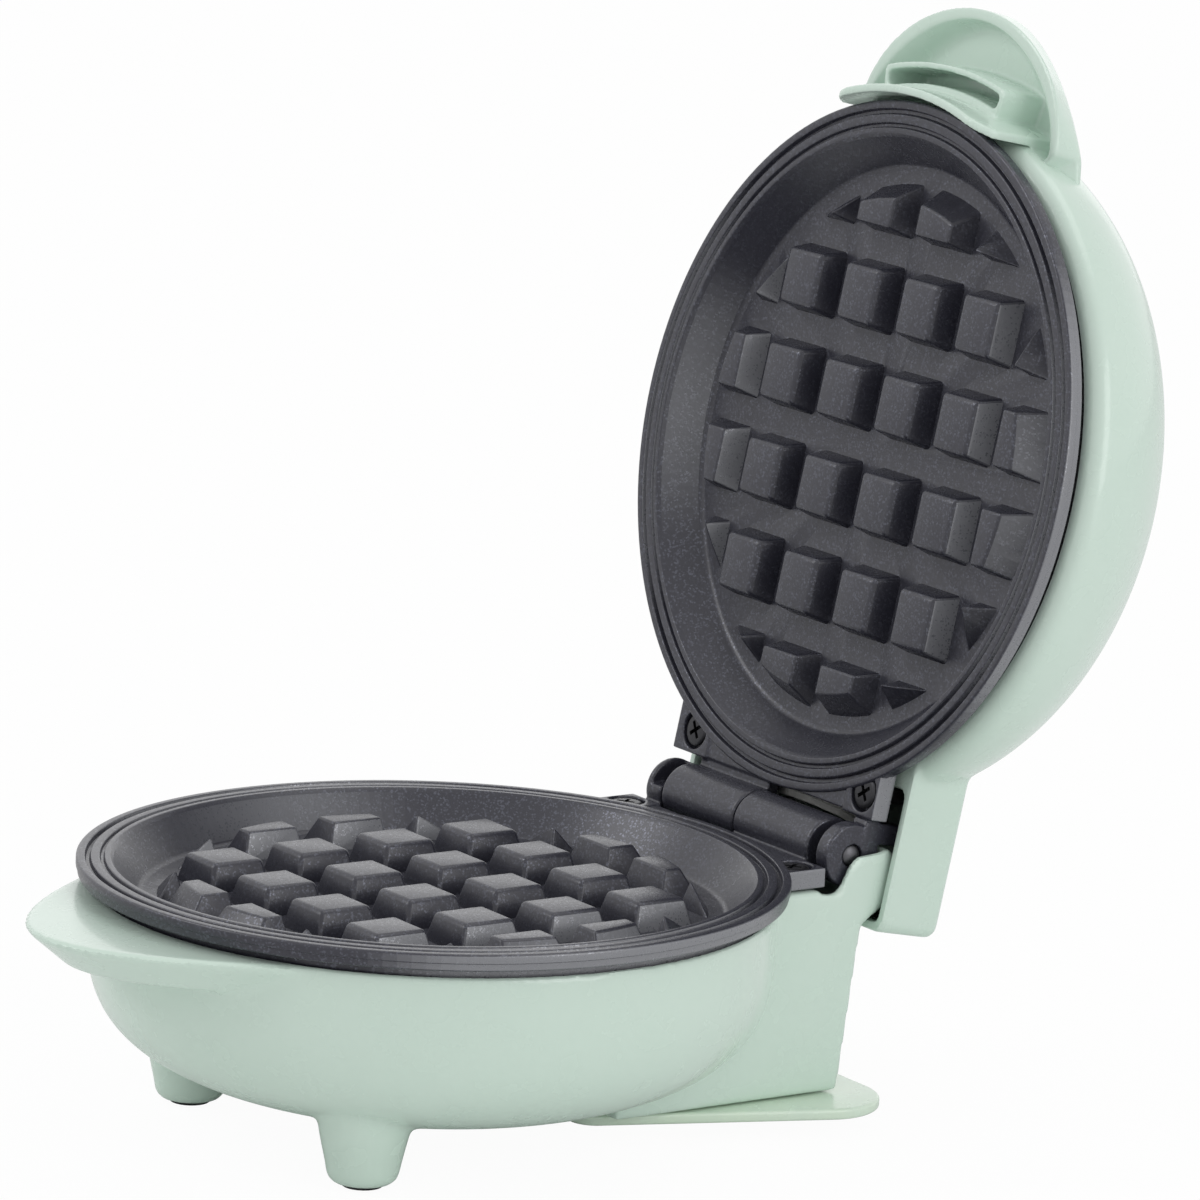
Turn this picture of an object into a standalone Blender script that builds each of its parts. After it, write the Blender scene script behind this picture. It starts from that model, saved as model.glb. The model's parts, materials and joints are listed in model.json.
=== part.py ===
# Mini waffle maker with a hinged lid, standing open.
# Lengths are in metres. The mould frame has its origin at the plate centre, halfway between
# the two closed plates, with +Z up, the handle towards -Y and the hinge towards +Y.
# Each half is drawn closed in that frame; the lid pieces hang from an empty on the hinge axis.

import math

import bmesh
import bpy
from mathutils import Matrix, Vector

MM = 0.001

# Plates
RIM_RADIUS = 62.6 * MM
FLOOR_INSET = 11.1 * MM
FLOOR_RADIUS = RIM_RADIUS - FLOOR_INSET
PLATE_GAP = 1.8 * MM
CAVITY_DEPTH = 7.0 * MM
PLATE_FLOOR = 3.2 * MM
RIM_HEIGHT = 3.0 * MM
RIM_OVERHANG = 3.4 * MM
SKIRT_RADIUS = RIM_RADIUS - RIM_OVERHANG
SKIRT_HEIGHT = 5.3 * MM
SKIRT_STEP = 2.0 * MM
LIP_WIDTH = 1.3 * MM
GROOVE_WIDTH = 1.0 * MM
GROOVE_DEPTH = 0.9 * MM
EDGE_ROUND = 0.4 * MM
STUD_PITCH = 17.8 * MM
STUD_TOP = 10.0 * MM
STUD_BASE = 12.5 * MM
STUD_RECESS = 2.0 * MM
STUDS_PER_ROW = 6
STUD_SINK = 1.0 * MM
FIELD_MARGIN = 3.2 * MM
FIELD_SLOPE = 3.3 * MM
STUD_FIELD_BASE = FLOOR_RADIUS - FIELD_MARGIN
STUD_FIELD_TOP = STUD_FIELD_BASE - FIELD_SLOPE

# Hinge
HINGE_SETBACK = 6.9 * MM
HINGE_Y = RIM_RADIUS + HINGE_SETBACK
OPEN_ANGLE = math.radians(101.5)
BARREL_RADIUS = 5.5 * MM
RING_RADIUS = 5.8 * MM
PIN_RADIUS = 2.0 * MM
PIN_CLEARANCE = 0.05 * MM
PIN_START = -28.4 * MM
PIN_END = 28.8 * MM
COLLAR_SPAN = (-28.6 * MM, -23.9 * MM)
LID_BARREL_SPAN = (-23.5 * MM, -1.1 * MM)
BASE_BARREL_SPAN = (-0.7 * MM, 22.1 * MM)
RING_SPAN = (25.2 * MM, 28.6 * MM)
KNUCKLE_CLEARANCE = 0.8 * MM
KNUCKLE_END_CLEARANCE = 0.3 * MM
FLANGE_THICKNESS = 3.7 * MM
TAB_STEP = 0.15 * MM
WEB_STEP = 0.5 * MM
TAB_REAR = RIM_RADIUS
TAB_FRONT = FLOOR_RADIUS - 3.5 * MM
TAB_SEAM_RADIUS = RIM_RADIUS - 1.0 * MM
TAB_HALF_WIDTH = 30.4 * MM
TAB_INNER = 21.4 * MM

# Plate screws
SCREW_X = 26.3 * MM
SCREW_INSET = 4.4 * MM
SCREW_Y = TAB_REAR - SCREW_INSET
SCREW_HEAD_RADIUS = 3.0 * MM
SCREW_HEAD_HEIGHT = 1.8 * MM
SCREW_SHANK_RADIUS = 1.5 * MM
SCREW_LENGTH = 10.0 * MM
SCREW_CLEARANCE = 0.3 * MM
CROSS_WIDTH = 0.7 * MM
CROSS_LENGTH = 3.4 * MM
CROSS_DEPTH = 1.0 * MM
BOSS_RADIUS = 3.9 * MM
BOSS_HEIGHT = 11.5 * MM

# Shells
WALL = 2.2 * MM
MOUTH_CLEARANCE = 0.6 * MM
SHELL_MOUTH_RADIUS = SKIRT_RADIUS + MOUTH_CLEARANCE
FIT_GAP = 0.3 * MM
BOWL_EDGE_DROP = 4.6 * MM
BOWL_LEDGE = 0.7 * MM
BOWL_RADIUS = SHELL_MOUTH_RADIUS + BOWL_LEDGE
BOWL_HEIGHT = 33.9 * MM
BOWL_SHOULDER = 1.9 * MM
DOME_EDGE_RISE = 5.4 * MM
DOME_SHOULDER = 3.8 * MM
DOME_LEDGE = 3.6 * MM
DOME_RADIUS = SHELL_MOUTH_RADIUS + DOME_LEDGE
DOME_HEIGHT = 36.5 * MM

# Front grip: a lip on the base under a hollow shroud on the lid
LIP_REACH = 16.0 * MM
SHROUD_REACH = 18.0 * MM
LIP_OUTLINE = (RIM_RADIUS + LIP_REACH, 36.6 * MM, 30.4 * MM)
SHROUD_OUTLINE = (RIM_RADIUS + SHROUD_REACH, 33.0 * MM, 26.5 * MM)
GRIP_POWER = 1.9
LIP_THICKNESS = 5.6 * MM
LIP_TAPER = 0.90
SHROUD_HEIGHT = 9.4 * MM
COLLAR_CLEARANCE = 0.9 * MM
COLLAR_WALL_RADIUS = RIM_RADIUS + COLLAR_CLEARANCE
COLLAR_WALL = 1.5 * MM
COLLAR_DROP = 9.9 * MM
COLLAR_HALF_WIDTH = 23.8 * MM
COLLAR_CORNER = 5.0 * MM
COLLAR_SWEEP = math.radians(27.0)
LOOP_SETBACK = 1.3 * MM
LOOP_DEPTH = 3.9 * MM
LOOP_INNER_RADIUS = COLLAR_WALL_RADIUS + COLLAR_WALL + LOOP_SETBACK
LOOP_OUTER_RADIUS = LOOP_INNER_RADIUS + LOOP_DEPTH
LOOP_WALL = 1.1 * MM
LOOP_SWEEP = math.radians(15.0)
LOOP_DROP = 1.2 * MM

# Tower at the back of the base, and the housing that wraps it
TOWER_HALF_WIDTH = 30.5 * MM
TOWER_DROP = 1.0 * MM
TOWER_BOTTOM = BOWL_EDGE_DROP + BOWL_SHOULDER + BOWL_HEIGHT + TOWER_DROP
TOWER_FLOOR_REAR = HINGE_Y - 1.9 * MM
TOWER_NECK_REAR = HINGE_Y + 1.1 * MM
TOWER_NECK_DROP = 14.5 * MM
TOWER_HIP_DROP = 11.6 * MM
EAR_FOOT_DROP = 7.6 * MM
TOWER_WALL = 2.1 * MM
TOWER_HOLLOW_FRONT = 38.0 * MM
EAR_WALL = 1.6 * MM
SHOULDER_DROP = 4.1 * MM
NOTCH_DEPTH = 1.0 * MM
TOWER_FRONT = 20.0 * MM
EAR_FRONT = HINGE_Y - 3.8 * MM
EAR_REAR = HINGE_Y + 8.1 * MM
EAR_RISE = 1.9 * MM
HOUSING_CLEARANCE = 0.7 * MM
HOUSING_WALL = 1.8 * MM
HOUSING_SETBACK = 4.6 * MM
HOUSING_REAR = EAR_REAR + HOUSING_SETBACK
HOUSING_HEIGHT = 13.2 * MM
HOUSING_FRONT = 40.0 * MM
HOUSING_WELL_FRONT = HOUSING_FRONT + 9.0 * MM
LEDGE_FRONT = TAB_REAR - 6.8 * MM

# Base plate and feet
FLOOR_CLEARANCE = 5.4 * MM
RIM_TO_FLOOR = TOWER_BOTTOM + FLOOR_CLEARANCE
BASE_PLATE_THICKNESS = 2.0 * MM
BASE_PLATE_REAR = HINGE_Y + 5.6 * MM
BASE_PLATE_FRONT = 17.0 * MM
BASE_PLATE_REAR_HALF = 45.0 * MM
BASE_PLATE_FRONT_HALF = 24.0 * MM
BASE_PLATE_CORNER = 11.0 * MM
FOOT_X = 28.8 * MM
FOOT_Y = -30.8 * MM
FOOT_TOP_RADIUS = 7.8 * MM
FOOT_BOTTOM_RADIUS = 6.2 * MM
FOOT_ROUND = 1.6 * MM
PAD_RADIUS = 3.8 * MM
PAD_PROUD = 0.6 * MM
PAD_HEIGHT = 2.6 * MM
REAR_PAD_RADIUS = 5.0 * MM
REAR_PAD_X = 14.0 * MM
REAR_PAD_Y = BASE_PLATE_REAR - 14.1 * MM

# Inside
ELEMENT_RADIUS = FLOOR_RADIUS - 13.5 * MM
ELEMENT_TUBE = 3.1 * MM
ELEMENT_SWEEP = math.radians(310.0)
SHIELD_RADIUS = FLOOR_RADIUS - 4.5 * MM
SHIELD_FLANGE = 5.0 * MM
SHIELD_THICKNESS = 0.8 * MM
SHIELD_DEPTH = 8.6 * MM
POST_RADIUS = 4.0 * MM
SHIELD_HOLE = 2.0 * MM
THERMOSTAT_RADIUS = 8.0 * MM
THERMOSTAT_HEIGHT = 6.0 * MM
THERMOSTAT_X = ELEMENT_RADIUS - 20.0 * MM
FUSE_RADIUS = 2.0 * MM
FUSE_LENGTH = 13.0 * MM
TERMINAL_SIZE = (22.0 * MM, 9.0 * MM, 8.5 * MM)
TERMINAL_Y = TOWER_FLOOR_REAR - 13.6 * MM
RELIEF_RADIUS = 4.4 * MM
RELIEF_FLANGE_RADIUS = 6.2 * MM
RELIEF_FLANGE = 1.6 * MM
RELIEF_LENGTH = 9.0 * MM
RELIEF_BORE = 2.7 * MM
RELIEF_Z = 29.5 * MM
LENS_RADIUS = 3.2 * MM
LENS_PROUD = 0.9 * MM
LENS_Y = -18.0 * MM
LAMP_RADIUS = 2.4 * MM
LAMP_LENGTH = 8.0 * MM
SLEEVE_RADIUS = 1.2 * MM
SLEEVE_CLEARANCE = 0.2 * MM
SLEEVE_Y = TAB_REAR + 0.8 * MM
SLEEVE_REACH = 7.0 * MM

TURN_STEPS = 44
SMALL_STEPS = 12

LOWER_RIM_Z = -PLATE_GAP / 2
UPPER_RIM_Z = PLATE_GAP / 2
FLOOR_Z = LOWER_RIM_Z - RIM_TO_FLOOR

GREEN = (0.545, 0.665, 0.585)
GREEN_PALE = (0.60, 0.71, 0.60)
NONSTICK = (0.062, 0.062, 0.078)
DARK_STEEL = (0.045, 0.045, 0.050)
STEEL = (0.42, 0.42, 0.43)
ALUMINIUM = (0.66, 0.67, 0.69)
BLACK_RUBBER = (0.018, 0.018, 0.020)
WHITE_GLASS = (0.62, 0.62, 0.58)
CREAM = (0.70, 0.66, 0.55)
RED_LENS = (0.45, 0.04, 0.03)

for old in list(bpy.data.objects):
    bpy.data.objects.remove(old, do_unlink=True)

parts = bpy.data.collections.new("mini_waffle_maker")
cutters = bpy.data.collections.new("cutters")
bpy.context.scene.collection.children.link(parts)
bpy.context.scene.collection.children.link(cutters)
cutters.hide_render = True


def add_empty(name, location, parent=None):
    empty = bpy.data.objects.new(name, None)
    empty.empty_display_size = 0.02
    empty.location = location
    empty.parent = parent
    parts.objects.link(empty)
    return empty


root = add_empty("waffle_maker", (0, 0, -FLOOR_Z))
hinge = add_empty("lid_hinge", (0, HINGE_Y, 0), root)
hinge.rotation_euler.x = -OPEN_ANGLE


def attach(obj, on_lid, location=(0, 0, 0)):
    """Places an object at a point of the mould frame, carried by the base or by the lid."""
    obj.location = Vector(location)
    obj.parent = root
    if on_lid:
        obj.parent = hinge
        obj.location.y -= HINGE_Y
    return obj


def new_object(name, mesh, on_lid, location=(0, 0, 0), helper=False):
    obj = bpy.data.objects.new(name, mesh)
    if helper:
        cutters.objects.link(obj)
        obj.hide_render = True
        obj.display_type = "WIRE"
    else:
        parts.objects.link(obj)
    return attach(obj, on_lid, location)


def mesh_from(bm, name):
    bmesh.ops.recalc_face_normals(bm, faces=bm.faces)
    mesh = bpy.data.meshes.new(name)
    bm.to_mesh(mesh)
    bm.free()
    return mesh


def box(name, low, high, on_lid, helper=False, bevel=0.0):
    bm = bmesh.new()
    size = Vector(high) - Vector(low)
    bmesh.ops.create_cube(bm, size=1.0)
    bmesh.ops.scale(bm, vec=size, verts=bm.verts)
    middle = (Vector(high) + Vector(low)) / 2
    obj = new_object(name, mesh_from(bm, name), on_lid, middle, helper)
    if bevel:
        add_bevel(obj, bevel)
    return obj


def add_bevel(obj, width, segments=2, angle=40.0):
    bevel = obj.modifiers.new("Bevel", "BEVEL")
    bevel.width = width
    bevel.segments = segments
    bevel.limit_method = "ANGLE"
    bevel.angle_limit = math.radians(angle)
    bevel.use_clamp_overlap = True


def rod(name, radius, start, end, on_lid, helper=False, steps=SMALL_STEPS, end_radius=None):
    """A round bar or cone from one point to another."""
    start, end = Vector(start), Vector(end)
    along = end - start
    bm = bmesh.new()
    bmesh.ops.create_cone(
        bm,
        cap_ends=True,
        segments=steps,
        radius1=radius,
        radius2=radius if end_radius is None else end_radius,
        depth=along.length,
    )
    turn = Vector((0, 0, 1)).rotation_difference(along).to_matrix()
    bmesh.ops.rotate(bm, matrix=turn, verts=bm.verts)
    return new_object(name, mesh_from(bm, name), on_lid, (start + end) / 2, helper)


def turned(name, profile, on_lid, location=(0, 0, 0), helper=False, steps=TURN_STEPS):
    """A turned solid; the profile is (radius, height) from the top of the axis to its bottom."""
    mesh = bpy.data.meshes.new(name)
    edges = [(i, i + 1) for i in range(len(profile) - 1)]
    mesh.from_pydata([(r, 0, z) for r, z in profile], edges, [])
    obj = new_object(name, mesh, on_lid, location, helper)
    screw = obj.modifiers.new("Screw", "SCREW")
    screw.axis = "Z"
    screw.angle = math.tau
    screw.steps = steps
    screw.render_steps = steps
    screw.use_merge_vertices = True
    screw.merge_threshold = 0.00001
    return obj


def prism(name, outline, low, high, on_lid, helper=False, sideways=False):
    """A flat outline given thickness along Z, or along X when the outline is a side view."""
    curve = bpy.data.curves.new(name, "CURVE")
    curve.dimensions = "2D"
    curve.fill_mode = "BOTH"
    curve.extrude = (high - low) / 2
    spline = curve.splines.new("POLY")
    spline.points.add(len(outline) - 1)
    for point, (u, v) in zip(spline.points, outline):
        point.co = (u, v, 0, 1)
    spline.use_cyclic_u = True
    drawn = bpy.data.objects.new(name, curve)
    parts.objects.link(drawn)
    bpy.context.view_layer.update()
    graph = bpy.context.evaluated_depsgraph_get()
    mesh = bpy.data.meshes.new_from_object(drawn.evaluated_get(graph))
    bpy.data.objects.remove(drawn)
    bm = bmesh.new()
    bm.from_mesh(mesh)
    bpy.data.meshes.remove(mesh)
    bmesh.ops.remove_doubles(bm, verts=bm.verts, dist=0.000001)
    middle = Vector((0, 0, (low + high) / 2))
    if sideways:
        turn = Matrix(((0, 0, 1), (1, 0, 0), (0, 1, 0)))
        bmesh.ops.rotate(bm, matrix=turn, verts=bm.verts)
        middle = Vector(((low + high) / 2, 0, 0))
    return new_object(name, mesh_from(bm, name), on_lid, middle, helper)


def tube(name, points, radius, on_lid, closed=False):
    """A bent round tube along a list of points."""
    curve = bpy.data.curves.new(name, "CURVE")
    curve.dimensions = "3D"
    curve.bevel_depth = radius
    curve.bevel_resolution = 1
    curve.use_fill_caps = True
    spline = curve.splines.new("POLY")
    spline.points.add(len(points) - 1)
    for point, at in zip(spline.points, points):
        point.co = (*at, 1)
    spline.use_cyclic_u = closed
    obj = bpy.data.objects.new(name, curve)
    parts.objects.link(obj)
    return attach(obj, on_lid)


def combine(target, tool, operation, name=None):
    modifier = target.modifiers.new(name or tool.name, "BOOLEAN")
    modifier.operation = operation
    modifier.object = tool
    modifier.solver = "EXACT"


def cut(target, *tools):
    for tool in tools:
        combine(target, tool, "DIFFERENCE")


def join(target, *tools):
    for tool in tools:
        combine(target, tool, "UNION")


def give_material(obj, name, colour, roughness, metallic=0.0, transmission=0.0):
    material = bpy.data.materials.new(name)
    material.use_nodes = True
    shader = material.node_tree.nodes["Principled BSDF"]
    shader.inputs["Base Color"].default_value = (*colour, 1)
    shader.inputs["Roughness"].default_value = roughness
    shader.inputs["Metallic"].default_value = metallic
    shader.inputs["Transmission Weight"].default_value = transmission
    obj.data.materials.append(material)


def shade_round(obj, angle=35.0):
    if obj.type == "MESH":
        obj.data.shade_smooth()
        obj.data.set_sharp_from_angle(angle=math.radians(angle))


def mirrored(point, side):
    return (side * point[0], *point[1:])


def arc(centre, radius, start, end, steps):
    """Points of an arc, in the plane, from one angle to another."""
    found = []
    for i in range(steps + 1):
        at = start + (end - start) * i / steps
        found.append((centre[0] + radius * math.cos(at), centre[1] + radius * math.sin(at)))
    return found


def rounded(corners, radii, steps=5):
    """The polygon with each corner replaced by an arc of its own radius."""
    found = []
    count = len(corners)
    for i in range(count):
        here = Vector(corners[i])
        before = (Vector(corners[i - 1]) - here).normalized()
        after = (Vector(corners[(i + 1) % count]) - here).normalized()
        if radii[i] == 0:
            found.append(tuple(here))
            continue
        half = before.angle(after) / 2
        centre = here + (before + after).normalized() * radii[i] / math.sin(half)
        first = here + before * radii[i] / math.tan(half) - centre
        last = here + after * radii[i] / math.tan(half) - centre
        start = math.atan2(first.y, first.x)
        sweep = math.atan2(last.y, last.x) - start
        sweep = (sweep + math.pi) % math.tau - math.pi
        found += arc(centre, radii[i], start, start + sweep, steps)
    return found


def quarter(radius, height, round_out, round_up, steps):
    """A quarter of a superellipse, from its widest point to its axis, as (radius, height)."""
    found = []
    for i in range(steps + 1):
        at = math.pi / 2 * i / steps
        wide = max(math.cos(at), 0.0) ** (2 / round_out)
        tall = math.sin(at) ** (2 / round_up)
        found.append((radius * wide, height * tall))
    found[-1] = (0.0, height)
    return found


def sector(inner, outer, half_sweep, steps=14):
    """A ring sector around the plate centre, facing the front."""
    front = -math.pi / 2
    outside = arc((0, 0), outer, front - half_sweep, front + half_sweep, steps)
    inside = arc((0, 0), inner, front + half_sweep, front - half_sweep, steps)
    return outside + inside


def grip_outline(reach, half_width, depth, inset=0.0, steps=18):
    """An arched front edge, closed behind inside the shell."""
    front = []
    for i in range(steps + 1):
        share = 2 * i / steps - 1
        rise = depth * abs(share) ** GRIP_POWER
        front.append(((half_width - inset) * share, -reach + inset + rise))
    back = -30.0 * MM
    return front + [(half_width - inset, back), (inset - half_width, back)]


# Cast plates

def plate_profile():
    """Section of a plate, cooking side up, from the floor centre out over the rim and under."""
    rim = RIM_RADIUS
    first_groove = rim - LIP_WIDTH
    ring = first_groove - GROOVE_WIDTH
    second_groove = ring - LIP_WIDTH
    lip = second_groove - 0.7 * GROOVE_WIDTH
    skirt = SKIRT_RADIUS
    bottom = -CAVITY_DEPTH - PLATE_FLOOR
    return [
        (0, -CAVITY_DEPTH),
        (FLOOR_RADIUS, -CAVITY_DEPTH),
        (FLOOR_RADIUS + 0.5 * MM, -CAVITY_DEPTH + EDGE_ROUND),
        (lip - LIP_WIDTH, -2 * EDGE_ROUND),
        (lip - 0.5 * LIP_WIDTH, 0),
        (lip, 0),
        (lip + 0.2 * MM, -GROOVE_DEPTH),
        (second_groove - 0.1 * MM, -GROOVE_DEPTH),
        (second_groove + 0.1 * MM, 0),
        (ring - 0.1 * MM, 0),
        (ring + 0.1 * MM, -GROOVE_DEPTH),
        (first_groove - 0.1 * MM, -GROOVE_DEPTH),
        (first_groove + 0.1 * MM, 0),
        (rim - EDGE_ROUND, 0),
        (rim, -EDGE_ROUND),
        (rim, -RIM_HEIGHT / 2),
        (rim - 0.3 * MM, -RIM_HEIGHT / 2),
        (rim - 0.3 * MM, -RIM_HEIGHT + EDGE_ROUND),
        (rim - 0.3 * MM - EDGE_ROUND, -RIM_HEIGHT),
        (skirt, -RIM_HEIGHT),
        (skirt, -SKIRT_HEIGHT),
        (skirt - SKIRT_STEP, -SKIRT_HEIGHT - 0.35 * SKIRT_STEP),
        (skirt - SKIRT_STEP, bottom + EDGE_ROUND),
        (skirt - SKIRT_STEP - EDGE_ROUND, bottom),
        (0, bottom),
    ]


def stud_field(name, on_lid, rim_z, side):
    """The grid of tapered studs, trimmed to a round field inside the plate wall."""
    bm = bmesh.new()
    height = CAVITY_DEPTH - STUD_RECESS + STUD_SINK
    low = -CAVITY_DEPTH - STUD_SINK
    flare = (STUD_BASE - STUD_TOP) / (CAVITY_DEPTH - STUD_RECESS) * STUD_SINK
    half_row = (STUDS_PER_ROW - 1) / 2
    for i in range(STUDS_PER_ROW):
        for j in range(STUDS_PER_ROW):
            x, y = (i - half_row) * STUD_PITCH, (j - half_row) * STUD_PITCH
            nearest = math.hypot(abs(x) - STUD_BASE / 2, abs(y) - STUD_BASE / 2)
            if nearest > STUD_FIELD_BASE - 2.0 * MM:
                continue
            made = bmesh.ops.create_cone(
                bm,
                cap_ends=True,
                segments=4,
                radius1=(STUD_BASE + flare) / math.sqrt(2),
                radius2=STUD_TOP / math.sqrt(2),
                depth=height,
            )["verts"]
            bmesh.ops.rotate(bm, matrix=Matrix.Rotation(math.pi / 4, 3, "Z"), verts=made)
            bmesh.ops.translate(bm, vec=(x, y, low + height / 2), verts=made)
    if side < 0:
        bmesh.ops.rotate(bm, matrix=Matrix.Rotation(math.pi, 3, "Y"), verts=bm.verts)
    studs = new_object(name, mesh_from(bm, name), on_lid, (0, 0, rim_z), helper=True)
    field = rod(
        name + "_field",
        STUD_FIELD_BASE,
        (0, 0, rim_z + side * low * 1.05),
        (0, 0, rim_z + side * (-STUD_RECESS + 1.0 * MM)),
        on_lid,
        helper=True,
        steps=36,
        end_radius=STUD_FIELD_TOP,
    )
    combine(studs, field, "INTERSECT")
    return studs


def make_plate(name, on_lid, side, barrels, ring):
    """A grid plate with its hinge knuckles; side is +1 for cooking side up, -1 for down."""
    rim_z = side * LOWER_RIM_Z
    plate = turned(name, plate_profile(), on_lid, (0, 0, rim_z))
    if side < 0:
        plate.rotation_euler.y = math.pi
    join(plate, stud_field(name + "_studs", on_lid, rim_z, side))

    def between(depth_a, depth_b):
        return sorted((rim_z - side * depth_a, rim_z - side * depth_b))

    seam = rod(
        name + "_seam",
        TAB_SEAM_RADIUS,
        (0, 0, rim_z - RIM_RADIUS / 4),
        (0, 0, rim_z + RIM_RADIUS / 4),
        on_lid,
        helper=True,
        steps=TURN_STEPS,
    )
    low, high = between(TAB_STEP, FLANGE_THICKNESS)
    for sign in (-1, 1):
        xs = sorted((sign * TAB_INNER, sign * TAB_HALF_WIDTH))
        tab = box(
            f"{name}_tab_{'left' if sign < 0 else 'right'}",
            (xs[0], TAB_FRONT, low),
            (xs[1], TAB_REAR, high),
            on_lid,
            helper=True,
            bevel=0.4 * MM,
        )
        cut(tab, seam)
        join(plate, tab)
    low, high = between(WEB_STEP, FLANGE_THICKNESS - TAB_STEP)
    web = box(
        name + "_web",
        (-TAB_INNER - 1.0 * MM, TAB_FRONT, low),
        (TAB_INNER + 1.0 * MM, TAB_REAR - 2 * TAB_STEP, high),
        on_lid,
        helper=True,
    )
    cut(web, seam)
    join(plate, web)
    low, high = between(WEB_STEP + 2 * TAB_STEP, FLANGE_THICKNESS - 3 * TAB_STEP)
    for i, (start, end) in enumerate(barrels):
        wide = box(
            f"{name}_bridge_{i}",
            (start + TAB_STEP, TAB_REAR - 2.0 * MM, low),
            (end - TAB_STEP, HINGE_Y, high),
            on_lid,
            helper=True,
        )
        radius = RING_RADIUS if end - start < 8.0 * MM else BARREL_RADIUS
        knuckle = rod(
            f"{name}_knuckle_{i}",
            radius,
            (start, HINGE_Y, 0),
            (end, HINGE_Y, 0),
            on_lid,
            helper=True,
            steps=20,
        )
        join(plate, wide, knuckle)
    for i, (start, end) in enumerate(ring):
        relief = rod(
            f"{name}_relief_{i}",
            (RING_RADIUS if end - start < 8.0 * MM else BARREL_RADIUS) + KNUCKLE_CLEARANCE,
            (start - KNUCKLE_END_CLEARANCE, HINGE_Y, 0),
            (end + KNUCKLE_END_CLEARANCE, HINGE_Y, 0),
            on_lid,
            helper=True,
            steps=20,
        )
        cut(plate, relief)
    bore = rod(
        name + "_bore",
        PIN_RADIUS + PIN_CLEARANCE,
        (-40.0 * MM, HINGE_Y, 0),
        (40.0 * MM, HINGE_Y, 0),
        on_lid,
        helper=True,
        steps=28,
    )
    cut(plate, bore)
    inner = -side
    for sign in (-1, 1):
        tag = "left" if sign < 0 else "right"
        x = sign * SCREW_X
        hole = rod(
            f"{name}_screw_hole_{tag}",
            SCREW_SHANK_RADIUS + SCREW_CLEARANCE,
            (x, SCREW_Y, rim_z - inner * 3.0 * MM),
            (x, SCREW_Y, rim_z + inner * 8.0 * MM),
            on_lid,
            helper=True,
        )
        sink = rod(
            f"{name}_sink_{tag}",
            SCREW_HEAD_RADIUS + SCREW_CLEARANCE + 0.3 * MM,
            (x, SCREW_Y, rim_z - inner * 0.5 * MM),
            (x, SCREW_Y, rim_z + inner * (SCREW_HEAD_HEIGHT + 0.6 * MM)),
            on_lid,
            helper=True,
        )
        cut(plate, hole, sink)
    bottom = rim_z - side * (CAVITY_DEPTH + PLATE_FLOOR)
    post = rod(
        name + "_post",
        POST_RADIUS,
        (0, 0, bottom + side * 1.0 * MM),
        (0, 0, bottom - side * (SHIELD_DEPTH - SHIELD_THICKNESS - FIT_GAP)),
        on_lid,
        helper=True,
    )
    tapped = rod(
        name + "_post_hole",
        SHIELD_HOLE,
        (0, 0, bottom - side * 0.6 * MM),
        (0, 0, bottom - side * (SHIELD_DEPTH + 2.0 * MM)),
        on_lid,
        helper=True,
        steps=12,
    )
    join(plate, post)
    cut(plate, tapped)
    give_material(plate, name, NONSTICK, 0.42, 0.35)
    shade_round(plate)
    return plate


make_plate("lower_plate", False, 1, [COLLAR_SPAN, BASE_BARREL_SPAN], [LID_BARREL_SPAN, RING_SPAN])
make_plate("upper_plate", True, -1, [LID_BARREL_SPAN, RING_SPAN], [COLLAR_SPAN, BASE_BARREL_SPAN])

# Hinge pin with a domed end

pin_dome = 0.8 * MM
hinge_pin = turned(
    "hinge_pin",
    [
        (0, pin_dome),
        (0.55 * PIN_RADIUS, 0.85 * pin_dome),
        (0.9 * PIN_RADIUS, 0.4 * pin_dome),
        (PIN_RADIUS, 0),
        (PIN_RADIUS, PIN_START - PIN_END + pin_dome),
        (0, PIN_START - PIN_END + pin_dome),
    ],
    False,
    (PIN_END - pin_dome, HINGE_Y, 0),
    steps=24,
)
hinge_pin.rotation_euler.y = math.pi / 2
give_material(hinge_pin, "pin_steel", STEEL, 0.35, 0.9)
shade_round(hinge_pin)


# Screws

def make_screw(name, point, direction, length, on_lid, colour=DARK_STEEL):
    """A cross-recessed screw; the point is the centre of its head's face."""
    point, direction = Vector(point), Vector(direction)
    neck = SCREW_HEAD_HEIGHT * 0.35
    screw = turned(
        name,
        [
            (0, 0),
            (SCREW_HEAD_RADIUS - 0.4 * MM, 0),
            (SCREW_HEAD_RADIUS, -0.35 * MM),
            (SCREW_HEAD_RADIUS, -neck),
            (SCREW_SHANK_RADIUS, -SCREW_HEAD_HEIGHT),
            (SCREW_SHANK_RADIUS, -length + 1.0 * MM),
            (0.5 * SCREW_SHANK_RADIUS, -length),
            (0, -length),
        ],
        on_lid,
        point,
        steps=SMALL_STEPS,
    )
    if direction.z > 0:
        screw.rotation_euler.y = math.pi
    for i in range(2):
        half = Vector((CROSS_LENGTH / 2, CROSS_WIDTH / 2, CROSS_DEPTH))
        slot = box(f"{name}_cross_{i}", point - half, point + half, on_lid, helper=True)
        slot.rotation_euler.z = math.radians(35.0 + 90.0 * i)
        cut(screw, slot)
    give_material(screw, name, colour, 0.45, 0.8)
    shade_round(screw)
    return screw


for side, word in ((-1, "left"), (1, "right")):
    seat = 0.3 * MM
    make_screw(
        f"lower_plate_screw_{word}",
        (side * SCREW_X, SCREW_Y, LOWER_RIM_Z - seat),
        (0, 0, -1),
        SCREW_LENGTH,
        False,
    )
    make_screw(
        f"upper_plate_screw_{word}",
        (side * SCREW_X, SCREW_Y, UPPER_RIM_Z + seat),
        (0, 0, 1),
        SCREW_LENGTH,
        True,
    )


# Lower shell: bowl, tower, front lip and front feet in one moulding

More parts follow.
